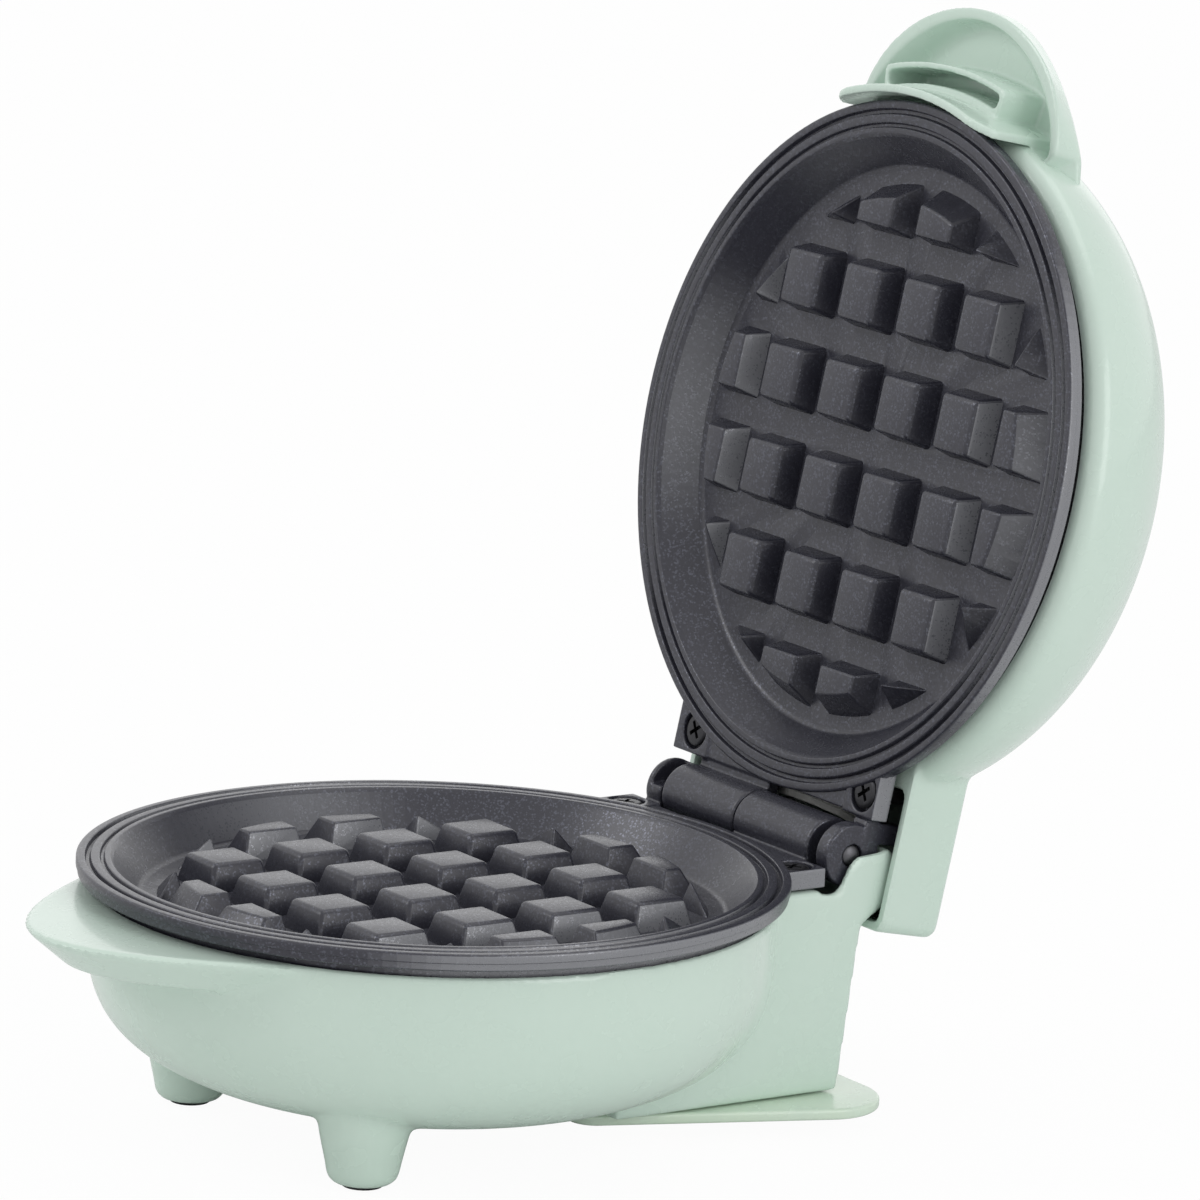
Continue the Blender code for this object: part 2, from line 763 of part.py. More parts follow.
BOWL_EDGE_Z = LOWER_RIM_Z - BOWL_EDGE_DROP
TOWER_FLOOR_Z = LOWER_RIM_Z - TOWER_BOTTOM
SHOULDER_Z = LOWER_RIM_Z - SHOULDER_DROP
BOWL_CURVE = (2.54, 4.4)
DOME_CURVE = (2.13, 1.98)


def bowl_profile(inset):
    """Section of the bowl from its mouth down; the inset gives the inside face."""
    top = BOWL_EDGE_Z
    curve = quarter(BOWL_RADIUS - inset, BOWL_HEIGHT - inset, *BOWL_CURVE, 9)
    start = top - BOWL_SHOULDER
    body = [(r, start - h) for r, h in curve]
    if inset:
        return [(0, top + 2 * MM), (SHELL_MOUTH_RADIUS, top + 2 * MM),
                (SHELL_MOUTH_RADIUS, top - 0.8 * MM)] + body
    return [(0, top), (BOWL_RADIUS - 0.4 * MM, top), (BOWL_RADIUS, top - 0.5 * MM)] + body


def tower_outline():
    """Side view of the tower as (y, z): floor, neck, rounded ear, notch and shoulder."""
    z = LOWER_RIM_Z
    ear = z + EAR_RISE
    rear = EAR_REAR
    neck = TOWER_NECK_REAR
    notch = SHOULDER_Z - NOTCH_DEPTH
    corners = [
        (TOWER_FRONT, TOWER_FLOOR_Z, 0),
        (TOWER_FLOOR_REAR, TOWER_FLOOR_Z, 0),
        (neck + 0.2 * MM, z - TOWER_NECK_DROP, 0),
        (neck + 0.6 * MM, z - TOWER_HIP_DROP, 1.6 * MM),
        (rear - 0.2 * MM, z - EAR_FOOT_DROP, 3.2 * MM),
        (rear, ear, 1.2 * MM),
        (HINGE_Y - 0.6 * MM, ear - 1.0 * MM, 2.6 * MM),
        (EAR_FRONT + 1.3 * MM, z - 2.6 * MM, 2.0 * MM),
        (EAR_FRONT, notch, 1.0 * MM),
        (TAB_REAR, notch, 0.5 * MM),
        (TAB_REAR - 1.1 * MM, SHOULDER_Z, 0.4 * MM),
        (TOWER_FRONT, SHOULDER_Z, 0),
    ]
    return rounded([corner[:2] for corner in corners], [corner[2] for corner in corners], 3)


lower_shell = turned("lower_shell", bowl_profile(0), False)
tower = prism(
    "tower_block", tower_outline(), -TOWER_HALF_WIDTH, TOWER_HALF_WIDTH, False, True, sideways=True
)
add_bevel(tower, 0.7 * MM, 2, 60.0)

lip = prism(
    "lip_block",
    grip_outline(*LIP_OUTLINE),
    BOWL_EDGE_Z - LIP_THICKNESS,
    BOWL_EDGE_Z - 0.1 * MM,
    False,
    True,
)
for vertex in lip.data.vertices:
    if vertex.co.z < 0:
        vertex.co.x *= LIP_TAPER
        vertex.co.y *= LIP_TAPER
add_bevel(lip, 2.2 * MM, 3, 60.0)

bowl_hollow = turned("bowl_hollow", bowl_profile(WALL), False, helper=True)
inner_half = TOWER_HALF_WIDTH - EAR_WALL
tower_hollow = prism(
    "tower_hollow",
    [
        (TOWER_HOLLOW_FRONT, TOWER_FLOOR_Z + TOWER_WALL),
        (TOWER_FLOOR_REAR - TOWER_WALL, TOWER_FLOOR_Z + TOWER_WALL),
        (TOWER_NECK_REAR - TOWER_WALL, LOWER_RIM_Z - TOWER_NECK_DROP),
        (TOWER_NECK_REAR - TOWER_WALL, LOWER_RIM_Z - TOWER_HIP_DROP + 1.0 * MM),
        (EAR_REAR - 2.0 * EAR_WALL, LOWER_RIM_Z - EAR_FOOT_DROP + 0.8 * MM),
        (EAR_REAR - EAR_WALL, LOWER_RIM_Z - EAR_FOOT_DROP + 2.6 * MM),
        (EAR_REAR - EAR_WALL, 2 * BARREL_RADIUS + 1.0 * MM),
        (TAB_REAR - 1.0 * MM, 2 * BARREL_RADIUS + 1.0 * MM),
        (TAB_REAR - 1.0 * MM, SHOULDER_Z - TOWER_WALL),
        (TOWER_HOLLOW_FRONT, SHOULDER_Z - TOWER_WALL),
    ],
    -inner_half,
    inner_half,
    False,
    True,
    sideways=True,
)

feet = []
bowl_under = LOWER_RIM_Z - BOWL_EDGE_DROP - BOWL_SHOULDER - BOWL_HEIGHT
for side, word in ((-1, "left"), (1, "right")):
    foot = turned(
        f"foot_{word}",
        [
            (0, bowl_under + 8.0 * MM),
            (FOOT_TOP_RADIUS + 0.6 * MM, bowl_under + 8.0 * MM),
            (FOOT_TOP_RADIUS, bowl_under + 3.0 * MM),
            (FOOT_BOTTOM_RADIUS + 0.4 * MM, FLOOR_Z + PAD_PROUD + 2.2 * FOOT_ROUND),
            (FOOT_BOTTOM_RADIUS, FLOOR_Z + PAD_PROUD + FOOT_ROUND),
            (FOOT_BOTTOM_RADIUS - 0.3 * FOOT_ROUND, FLOOR_Z + PAD_PROUD + 0.3 * FOOT_ROUND),
            (FOOT_BOTTOM_RADIUS - FOOT_ROUND, FLOOR_Z + PAD_PROUD),
            (0, FLOOR_Z + PAD_PROUD),
        ],
        False,
        (side * FOOT_X, FOOT_Y, 0),
        helper=True,
        steps=20,
    )
    feet.append(foot)

join(lower_shell, tower, lip, *feet)
cut(lower_shell, bowl_hollow, tower_hollow)

BASE_SCREW = (20.0 * MM, 47.0 * MM)
BASE_BOSS_HEIGHT = 6.0 * MM
for side, word in ((-1, "left"), (1, "right")):
    x = side * SCREW_X
    boss = rod(
        f"plate_boss_{word}",
        BOSS_RADIUS,
        (x, SCREW_Y, SHOULDER_Z),
        (x, SCREW_Y, SHOULDER_Z - BOSS_HEIGHT),
        False,
        helper=True,
    )
    boss_hole = rod(
        f"plate_boss_hole_{word}",
        SCREW_SHANK_RADIUS + SCREW_CLEARANCE,
        (x, SCREW_Y, SHOULDER_Z + 1.0 * MM),
        (x, SCREW_Y, SHOULDER_Z - BOSS_HEIGHT + 2.0 * MM),
        False,
        helper=True,
    )
    x = side * BASE_SCREW[0]
    lift = rod(
        f"base_boss_{word}",
        BOSS_RADIUS,
        (x, BASE_SCREW[1], TOWER_FLOOR_Z + 1.0 * MM),
        (x, BASE_SCREW[1], TOWER_FLOOR_Z + TOWER_WALL + BASE_BOSS_HEIGHT),
        False,
        helper=True,
    )
    lift_hole = rod(
        f"base_boss_hole_{word}",
        SCREW_SHANK_RADIUS + SCREW_CLEARANCE,
        (x, BASE_SCREW[1], TOWER_FLOOR_Z - 1.0 * MM),
        (x, BASE_SCREW[1], TOWER_FLOOR_Z + TOWER_WALL + BASE_BOSS_HEIGHT - 1.0 * MM),
        False,
        helper=True,
    )
    pad_recess = rod(
        f"pad_recess_{word}",
        PAD_RADIUS + FIT_GAP,
        (side * FOOT_X, FOOT_Y, FLOOR_Z - 1.0 * MM),
        (side * FOOT_X, FOOT_Y, FLOOR_Z + PAD_HEIGHT + FIT_GAP),
        False,
        helper=True,
    )
    join(lower_shell, boss, lift)
    cut(lower_shell, boss_hole, lift_hole, pad_recess)

relief_y = TOWER_FLOOR_REAR + (TOWER_NECK_REAR - TOWER_FLOOR_REAR) * 0.44
relief_z = LOWER_RIM_Z - RELIEF_Z
cord_hole = rod(
    "cord_hole",
    RELIEF_RADIUS + FIT_GAP,
    (0, relief_y - 8.0 * MM, relief_z),
    (0, relief_y + 8.0 * MM, relief_z),
    False,
    helper=True,
)
cut(lower_shell, cord_hole)
give_material(lower_shell, "shell_green_lower", GREEN, 0.22)
shade_round(lower_shell)


# Base plate that carries the back of the tower

base_outline = rounded(
    [
        (-BASE_PLATE_FRONT_HALF, BASE_PLATE_FRONT),
        (BASE_PLATE_FRONT_HALF, BASE_PLATE_FRONT),
        (BASE_PLATE_REAR_HALF, BASE_PLATE_REAR),
        (-BASE_PLATE_REAR_HALF, BASE_PLATE_REAR),
    ],
    [5.0 * MM, 5.0 * MM, BASE_PLATE_CORNER, BASE_PLATE_CORNER],
    8,
)
base_top = TOWER_FLOOR_Z - FIT_GAP
base_under = base_top - BASE_PLATE_THICKNESS
base_plate = prism("base_plate", base_outline, base_under, base_top, False)
add_bevel(base_plate, 0.5 * MM, 2, 60.0)
for side, word in ((-1, "left"), (1, "right")):
    x = side * BASE_SCREW[0]
    hole = rod(
        f"base_hole_{word}",
        SCREW_SHANK_RADIUS + SCREW_CLEARANCE,
        (x, BASE_SCREW[1], base_under - 1.0 * MM),
        (x, BASE_SCREW[1], base_top + 1.0 * MM),
        False,
        helper=True,
    )
    cut(base_plate, hole)
    make_screw(
        f"base_screw_{word}",
        (x, BASE_SCREW[1], base_under - SCREW_HEAD_HEIGHT - 0.1 * MM),
        (0, 0, 1),
        8.5 * MM,
        False,
    )
give_material(base_plate, "base_plate_green", GREEN_PALE, 0.28)


# Rubber pads under the front feet and the base plate

for side, word in ((-1, "left"), (1, "right")):
    pad = turned(
        f"front_foot_pad_{word}",
        [
            (0, PAD_HEIGHT),
            (PAD_RADIUS, PAD_HEIGHT),
            (PAD_RADIUS, 0.3 * MM),
            (PAD_RADIUS - 0.3 * MM, 0),
            (0, 0),
        ],
        False,
        (side * FOOT_X, FOOT_Y, FLOOR_Z),
        steps=24,
    )
    give_material(pad, "pad_rubber", BLACK_RUBBER, 0.8)
    shade_round(pad)
    height = base_under - FIT_GAP - FLOOR_Z
    pad = turned(
        f"rear_foot_pad_{word}",
        [
            (0, height),
            (REAR_PAD_RADIUS, height),
            (REAR_PAD_RADIUS, 0.4 * MM),
            (REAR_PAD_RADIUS - 0.4 * MM, 0),
            (0, 0),
        ],
        False,
        (side * REAR_PAD_X, REAR_PAD_Y, FLOOR_Z),
        steps=24,
    )
    give_material(pad, "pad_rubber", BLACK_RUBBER, 0.8)
    shade_round(pad)


# Lid shell: dome, hinge housing and hollow front grip in one moulding

DOME_EDGE_Z = UPPER_RIM_Z + DOME_EDGE_RISE


def dome_profile(inset):
    """Section of the dome from its top down to its mouth."""
    start = DOME_EDGE_Z + DOME_SHOULDER
    curve = quarter(DOME_RADIUS - inset, DOME_HEIGHT - inset, *DOME_CURVE, 9)
    body = [(r, start + h) for r, h in reversed(curve)]
    if inset:
        return body + [(SHELL_MOUTH_RADIUS, DOME_EDGE_Z + 1.6 * MM),
                       (SHELL_MOUTH_RADIUS, DOME_EDGE_Z - 2 * MM), (0, DOME_EDGE_Z - 2 * MM)]
    return body + [
        (DOME_RADIUS - 0.7 * MM, DOME_EDGE_Z + 0.4 * DOME_SHOULDER),
        (DOME_RADIUS - 1.9 * MM, DOME_EDGE_Z + 0.1 * DOME_SHOULDER),
        (DOME_RADIUS - 2.6 * MM, DOME_EDGE_Z),
        (0, DOME_EDGE_Z),
    ]


lid_shell = turned("lid_shell", dome_profile(0), True)
housing_half = TOWER_HALF_WIDTH + HOUSING_CLEARANCE + HOUSING_WALL
housing_top = DOME_EDGE_Z + HOUSING_HEIGHT
housing = box(
    "housing_block",
    (-housing_half, HOUSING_FRONT, DOME_EDGE_Z),
    (housing_half, HOUSING_REAR, housing_top),
    True,
    helper=True,
    bevel=1.4 * MM,
)
shroud = prism(
    "shroud_block",
    grip_outline(*SHROUD_OUTLINE),
    DOME_EDGE_Z,
    DOME_EDGE_Z + SHROUD_HEIGHT,
    True,
    True,
)
add_bevel(shroud, 1.0 * MM, 2, 60.0)
dome_hollow = turned("dome_hollow", dome_profile(WALL), True, helper=True)
housing_hollow = box(
    "housing_hollow",
    (-housing_half + HOUSING_WALL, LEDGE_FRONT + 0.8 * MM, DOME_EDGE_Z - 4.0 * MM),
    (housing_half - HOUSING_WALL, HOUSING_REAR - HOUSING_WALL, housing_top - HOUSING_WALL),
    True,
    helper=True,
)
housing_well = box(
    "housing_well",
    (-housing_half + HOUSING_WALL, HOUSING_WELL_FRONT, DOME_EDGE_Z + 2.8 * MM),
    (housing_half - HOUSING_WALL, TAB_REAR - 0.6 * MM, housing_top - HOUSING_WALL),
    True,
    helper=True,
)
grip_recess = prism(
    "grip_recess",
    grip_outline(*SHROUD_OUTLINE, WALL),
    DOME_EDGE_Z - 1.0 * MM,
    DOME_EDGE_Z + SHROUD_HEIGHT - WALL,
    True,
    True,
)
recess_stop = rod(
    "recess_stop",
    COLLAR_WALL_RADIUS,
    (0, 0, DOME_EDGE_Z - 5.0 * MM),
    (0, 0, DOME_EDGE_Z + SHROUD_HEIGHT),
    True,
    helper=True,
    steps=TURN_STEPS,
)
cut(grip_recess, recess_stop)
collar_wall = prism(
    "collar_wall",
    sector(COLLAR_WALL_RADIUS, COLLAR_WALL_RADIUS + COLLAR_WALL, COLLAR_SWEEP),
    DOME_EDGE_Z - COLLAR_DROP - 1.0 * MM,
    DOME_EDGE_Z + SHROUD_HEIGHT - 0.4 * WALL,
    True,
    True,
)
collar_front = prism(
    "collar_front",
    rounded(
        [
            (-COLLAR_HALF_WIDTH, DOME_EDGE_Z - COLLAR_DROP),
            (COLLAR_HALF_WIDTH, DOME_EDGE_Z - COLLAR_DROP),
            (COLLAR_HALF_WIDTH, DOME_EDGE_Z + 2 * SHROUD_HEIGHT),
            (-COLLAR_HALF_WIDTH, DOME_EDGE_Z + 2 * SHROUD_HEIGHT),
        ],
        [COLLAR_CORNER, COLLAR_CORNER, 0, 0],
        6,
    ),
    -COLLAR_WALL_RADIUS / 4,
    COLLAR_WALL_RADIUS / 4,
    True,
    True,
)
collar_front.rotation_euler.x = math.pi / 2
collar_front.location.y -= COLLAR_WALL_RADIUS
combine(collar_wall, collar_front, "INTERSECT")
loop = prism(
    "loop_block",
    sector(COLLAR_WALL_RADIUS + 0.5 * COLLAR_WALL, LOOP_OUTER_RADIUS, LOOP_SWEEP),
    DOME_EDGE_Z - LOOP_DROP,
    DOME_EDGE_Z + SHROUD_HEIGHT - 0.6 * WALL,
    True,
    True,
)
loop_slot = prism(
    "loop_slot",
    sector(
        LOOP_INNER_RADIUS,
        LOOP_OUTER_RADIUS - LOOP_WALL,
        LOOP_SWEEP - LOOP_WALL / LOOP_OUTER_RADIUS,
    ),
    DOME_EDGE_Z - LOOP_DROP - 1.0 * MM,
    DOME_EDGE_Z + SHROUD_HEIGHT - WALL,
    True,
    True,
)
join(lid_shell, housing, shroud)
cut(lid_shell, dome_hollow, housing_hollow, housing_well, grip_recess)
join(lid_shell, collar_wall, loop)
cut(lid_shell, loop_slot)

seat_z = UPPER_RIM_Z + FLANGE_THICKNESS + 0.3 * MM
for side, word in ((-1, "left"), (1, "right")):
    xs = sorted((side * (TAB_INNER + 0.5 * MM), side * (housing_half - 0.5 * HOUSING_WALL)))
    ledge = box(
        f"lid_ledge_{word}",
        (xs[0], LEDGE_FRONT, seat_z),
        (xs[1], TAB_REAR, DOME_EDGE_Z + 3.0 * MM),
        True,
        helper=True,
    )
    boss = rod(
        f"lid_boss_{word}",
        BOSS_RADIUS,
        (side * SCREW_X, SCREW_Y, seat_z + 0.6 * MM),
        (side * SCREW_X, SCREW_Y, housing_top - 0.5 * HOUSING_WALL),
        True,
        helper=True,
    )
    boss_hole = rod(
        f"lid_boss_hole_{word}",
        SCREW_SHANK_RADIUS + SCREW_CLEARANCE,
        (side * SCREW_X, SCREW_Y, seat_z - 1.0 * MM),
        (side * SCREW_X, SCREW_Y, seat_z + 9.0 * MM),
        True,
        helper=True,
    )
    join(lid_shell, ledge, boss)
    cut(lid_shell, boss_hole)


def dome_height(radius):
    """Height of the dome's outer face at a distance from the axis."""
    wide = (radius / DOME_RADIUS) ** (DOME_CURVE[0] / 2)
    lift = math.sqrt(1 - wide * wide) ** (2 / DOME_CURVE[1])
    return DOME_EDGE_Z + DOME_SHOULDER + DOME_HEIGHT * lift


lens_z = dome_height(abs(LENS_Y))
lens_hole = rod(
    "lens_hole",
    LENS_RADIUS + FIT_GAP,
    (0, LENS_Y, lens_z - 8.0 * MM),
    (0, LENS_Y, lens_z + 4.0 * MM),
    True,
    helper=True,
)
cut(lid_shell, lens_hole)
give_material(lid_shell, "shell_green_lid", GREEN, 0.22)
shade_round(lid_shell)

lens = turned(
    "indicator_lens",
    [
        (0, LENS_PROUD),
        (0.6 * LENS_RADIUS, 0.8 * LENS_PROUD),
        (LENS_RADIUS, 0),
        (LENS_RADIUS, -WALL),
        (0, -WALL),
    ],
    True,
    (0, LENS_Y, lens_z),
    steps=24,
)
give_material(lens, "lens_red", RED_LENS, 0.2)
shade_round(lens)
lamp_top = lens_z - WALL - FIT_GAP
lamp = rod(
    "indicator_lamp",
    LAMP_RADIUS,
    (0, LENS_Y, lamp_top - LAMP_LENGTH),
    (0, LENS_Y, lamp_top),
    True,
    steps=16,
)
give_material(lamp, "lamp_glass", WHITE_GLASS, 0.15)
shade_round(lamp)


# Heating parts behind each plate

def element_points(z):
    start = -math.pi / 2 - ELEMENT_SWEEP / 2
    ring = arc((0, 0), ELEMENT_RADIUS, start, start + ELEMENT_SWEEP, 28)
    return [(x, y, z) for x, y in ring]


for on_lid, side, word in ((False, 1, "lower"), (True, -1, "upper")):
    back = side * (LOWER_RIM_Z - CAVITY_DEPTH - PLATE_FLOOR)
    element = tube(
        f"{word}_heating_element",
        element_points(back - side * (ELEMENT_TUBE + FIT_GAP)),
        ELEMENT_TUBE,
        on_lid,
    )
    give_material(element, f"{word}_element", STEEL, 0.4, 0.9)
    top = back - side * (SHIELD_DEPTH - SHIELD_THICKNESS)
    shield = turned(
        f"{word}_heat_shield",
        [
            (0, 0),
            (SHIELD_RADIUS - 1.8 * MM, 0),
            (SHIELD_RADIUS - 0.9 * MM, SHIELD_FLANGE),
            (SHIELD_RADIUS, SHIELD_FLANGE),
            (SHIELD_RADIUS - 0.7 * MM, -SHIELD_THICKNESS),
            (0, -SHIELD_THICKNESS),
        ],
        on_lid,
        (0, 0, top),
        steps=32,
    )
    if side < 0:
        shield.rotation_euler.y = math.pi
    shield_hole = rod(
        f"{word}_shield_hole",
        SHIELD_HOLE,
        (0, 0, top - 3.0 * MM),
        (0, 0, top + 3.0 * MM),
        on_lid,
        helper=True,
    )
    cut(shield, shield_hole)
    give_material(shield, f"{word}_shield", ALUMINIUM, 0.35, 0.9)
    shade_round(shield)
    make_screw(
        f"{word}_shield_screw",
        (0, 0, top - side * (SHIELD_THICKNESS + FIT_GAP + SCREW_HEAD_HEIGHT)),
        (0, 0, side),
        7.5 * MM,
        on_lid,
        STEEL,
    )

back = LOWER_RIM_Z - CAVITY_DEPTH - PLATE_FLOOR - FIT_GAP
thermostat = rod(
    "thermostat",
    THERMOSTAT_RADIUS,
    (THERMOSTAT_X, 0, back - THERMOSTAT_HEIGHT),
    (THERMOSTAT_X, 0, back),
    False,
    steps=24,
)
add_bevel(thermostat, 0.6 * MM, 1)
give_material(thermostat, "thermostat_case", WHITE_GLASS, 0.5)
fuse = rod(
    "thermal_fuse",
    FUSE_RADIUS,
    (-THERMOSTAT_X, -FUSE_LENGTH / 2, back - FUSE_RADIUS),
    (-THERMOSTAT_X, FUSE_LENGTH / 2, back - FUSE_RADIUS),
    False,
    steps=12,
)
give_material(fuse, "fuse_case", STEEL, 0.4, 0.8)

shelf = TOWER_FLOOR_Z + TOWER_WALL + FIT_GAP
terminal = box(
    "terminal_block",
    (-TERMINAL_SIZE[0] / 2, TERMINAL_Y - TERMINAL_SIZE[1] / 2, shelf),
    (TERMINAL_SIZE[0] / 2, TERMINAL_Y + TERMINAL_SIZE[1] / 2, shelf + TERMINAL_SIZE[2]),
    False,
    bevel=0.5 * MM,
)
give_material(terminal, "terminal_plastic", CREAM, 0.5)


# Cord strain relief through the back wall of the tower

relief = turned(
    "cord_strain_relief",
    [
        (0, RELIEF_FLANGE),
        (RELIEF_FLANGE_RADIUS - 0.6 * MM, RELIEF_FLANGE),
        (RELIEF_FLANGE_RADIUS, RELIEF_FLANGE - 0.6 * MM),
        (RELIEF_FLANGE_RADIUS, 0),
        (RELIEF_RADIUS, 0),
        (RELIEF_RADIUS, -RELIEF_LENGTH),
        (0, -RELIEF_LENGTH),
    ],
    False,
    (0, relief_y + 1.0 * MM, relief_z),
    steps=28,
)
relief.rotation_euler.x = -math.pi / 2
relief_bore = rod(
    "relief_bore",
    RELIEF_BORE,
    (0, relief_y - 20.0 * MM, relief_z),
    (0, relief_y + 20.0 * MM, relief_z),
    False,
    helper=True,
)
cut(relief, relief_bore)
give_material(relief, "relief_rubber", BLACK_RUBBER, 0.7)
shade_round(relief)


# Sleeved lead that shows in the slot behind the hinge barrel

sleeve_z = UPPER_RIM_Z + FLANGE_THICKNESS + SLEEVE_RADIUS + SLEEVE_CLEARANCE
sleeve = tube(
    "lead_sleeve",
    [
        (-1.4 * SLEEVE_REACH, SLEEVE_Y + 0.4 * SLEEVE_REACH, sleeve_z + SLEEVE_REACH),
        (-0.8 * SLEEVE_REACH, SLEEVE_Y + 0.1 * SLEEVE_REACH, sleeve_z + 0.3 * SLEEVE_REACH),
        (0, SLEEVE_Y, sleeve_z),
        (SLEEVE_REACH, SLEEVE_Y, sleeve_z),
        (1.8 * SLEEVE_REACH, SLEEVE_Y + 0.1 * SLEEVE_REACH, sleeve_z + 0.3 * SLEEVE_REACH),
        (2.4 * SLEEVE_REACH, SLEEVE_Y + 0.4 * SLEEVE_REACH, sleeve_z + SLEEVE_REACH),
    ],
    SLEEVE_RADIUS,
    True,
)
give_material(sleeve, "sleeve_glass_fibre", WHITE_GLASS, 0.7)


# The origin is moved to the floor under the middle of the open object

def farthest(obj, pick):
    """The least or greatest y of an object's finished shape."""
    seen = obj.evaluated_get(bpy.context.evaluated_depsgraph_get())
    mesh = seen.to_mesh()
    found = pick((seen.matrix_world @ vertex.co).y for vertex in mesh.vertices)
    seen.to_mesh_clear()
    return found


bpy.context.view_layer.update()
root.location.y = -(farthest(lid_shell, max) + farthest(lower_shell, min)) / 2
print("hinge at y", round(root.location.y + HINGE_Y, 6), "z", round(-FLOOR_Z, 6))
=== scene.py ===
# Mini waffle maker, standing open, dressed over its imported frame.
# Every piece is drawn in the mould's own place: plate centre at x = y = 0, z = 0 halfway
# between the closed plates, handle towards -y, hinge towards +y. Lid pieces are drawn closed
# and swung open at the end.
import bpy
import bmesh
import json
import math
from mathutils import Matrix, Vector


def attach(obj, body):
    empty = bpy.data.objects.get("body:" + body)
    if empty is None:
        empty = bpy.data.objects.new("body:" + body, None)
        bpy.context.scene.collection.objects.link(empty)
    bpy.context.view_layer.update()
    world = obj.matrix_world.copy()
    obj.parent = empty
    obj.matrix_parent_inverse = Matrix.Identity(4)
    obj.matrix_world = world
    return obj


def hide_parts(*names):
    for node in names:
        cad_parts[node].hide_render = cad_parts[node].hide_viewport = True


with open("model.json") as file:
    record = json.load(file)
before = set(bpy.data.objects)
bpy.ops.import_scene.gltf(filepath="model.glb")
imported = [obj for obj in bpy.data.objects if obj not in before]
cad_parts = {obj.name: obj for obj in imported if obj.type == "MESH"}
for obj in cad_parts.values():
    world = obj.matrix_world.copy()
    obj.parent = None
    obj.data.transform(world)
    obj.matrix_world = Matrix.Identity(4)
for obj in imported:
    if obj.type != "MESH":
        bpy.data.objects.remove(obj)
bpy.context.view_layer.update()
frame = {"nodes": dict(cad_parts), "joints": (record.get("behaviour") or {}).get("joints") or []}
mm = 0.001

hinge = {"y": 69.5 * mm, "open": math.radians(101.5)}
hingeAt = Vector(frame["joints"][0]["pos_m"])
toFloor = Matrix.Translation((0, hingeAt.y - hinge["y"], hingeAt.z))
swingOpen = (
    Matrix.Translation((0, hinge["y"], 0))
    @ Matrix.Rotation(-hinge["open"], 4, "X")
    @ Matrix.Translation((0, -hinge["y"], 0))
)
lowerRim = -0.9 * mm
upperRim = 0.9 * mm


# small modelling tools

def deselectAll():
    if bpy.context.mode != "OBJECT":
        bpy.ops.object.mode_set(mode="OBJECT")
    bpy.ops.object.select_all(action="DESELECT")


def takeOnly(piece):
    deselectAll()
    piece.select_set(True)
    bpy.context.view_layer.objects.active = piece


def startEdit(piece, mode="FACE"):
    takeOnly(piece)
    bpy.ops.object.mode_set(mode="EDIT")
    bpy.ops.mesh.select_mode(type=mode)


def endEdit():
    bpy.ops.object.mode_set(mode="OBJECT")


def closeUp(piece):
    # merge what a spin or an extrude left double, then turn the faces outwards
    startEdit(piece)
    bpy.ops.mesh.select_all(action="SELECT")
    bpy.ops.mesh.remove_doubles(threshold=0.000002)
    bpy.ops.mesh.normals_make_consistent(inside=False)
    endEdit()


def pickEdges(piece, test):
    # needs edit mode; selects the edges whose two ends pass the test
    mesh = bmesh.from_edit_mesh(piece.data)
    bpy.ops.mesh.select_all(action="DESELECT")
    for edge in mesh.edges:
        if test(edge.verts[0].co, edge.verts[1].co):
            edge.select_set(True)
    bmesh.update_edit_mesh(piece.data)


def nameIt(name):
    piece = bpy.context.active_object
    piece.name = name
    piece.data.name = name
    return piece


def addBlock(name, low, high):
    deselectAll()
    low, high = Vector(low), Vector(high)
    bpy.ops.mesh.primitive_cube_add(size=1, location=(low + high) / 2, scale=high - low)
    bpy.ops.object.transform_apply(location=True, rotation=True, scale=True)
    return nameIt(name)


def addRod(name, radius, start, end, steps=64):
    deselectAll()
    start, end = Vector(start), Vector(end)
    along = end - start
    bpy.ops.mesh.primitive_cylinder_add(
        vertices=steps,
        radius=radius,
        depth=along.length,
        location=(start + end) / 2,
        rotation=along.to_track_quat("Z", "Y").to_euler(),
    )
    bpy.ops.object.transform_apply(location=True, rotation=True, scale=True)
    return nameIt(name)


def addLine(name, points, faces):
    deselectAll()
    mesh = bpy.data.meshes.new(name)
    edges = [] if faces else [(i, i + 1) for i in range(len(points) - 1)]
    mesh.from_pydata(points, edges, faces)
    piece = bpy.data.objects.new(name, mesh)
    bpy.context.scene.collection.objects.link(piece)
    return piece


def addTurned(name, profile, steps=128, middle=(0, 0, 0)):
    # profile is (radius, height); it is drawn as a line and spun once round z
    piece = addLine(name, [(r, 0, z) for r, z in profile], [])
    startEdit(piece, "VERT")
    bpy.ops.mesh.select_all(action="SELECT")
    bpy.ops.mesh.spin(steps=steps, angle=math.tau, center=(0, 0, 0), axis=(0, 0, 1))
    endEdit()
    closeUp(piece)
    piece.data.transform(Matrix.Translation(middle))
    return piece


def addSlab(name, outline, low, high, sideways=False):
    # a flat outline given thickness along z, or along x when it is a side view
    piece = addLine(name, [(u, v, low) for u, v in outline], [list(range(len(outline)))])
    startEdit(piece)
    bpy.ops.mesh.select_all(action="SELECT")
    bpy.ops.mesh.extrude_region_move(TRANSFORM_OT_translate={"value": (0, 0, high - low)})
    endEdit()
    if sideways:
        piece.data.transform(Matrix(((0, 0, 1, 0), (1, 0, 0, 0), (0, 1, 0, 0), (0, 0, 0, 1))))
    closeUp(piece)
    return piece


def applyAll(piece):
    takeOnly(piece)
    for modifier in list(piece.modifiers):
        bpy.ops.object.modifier_apply(modifier=modifier.name)
    return piece


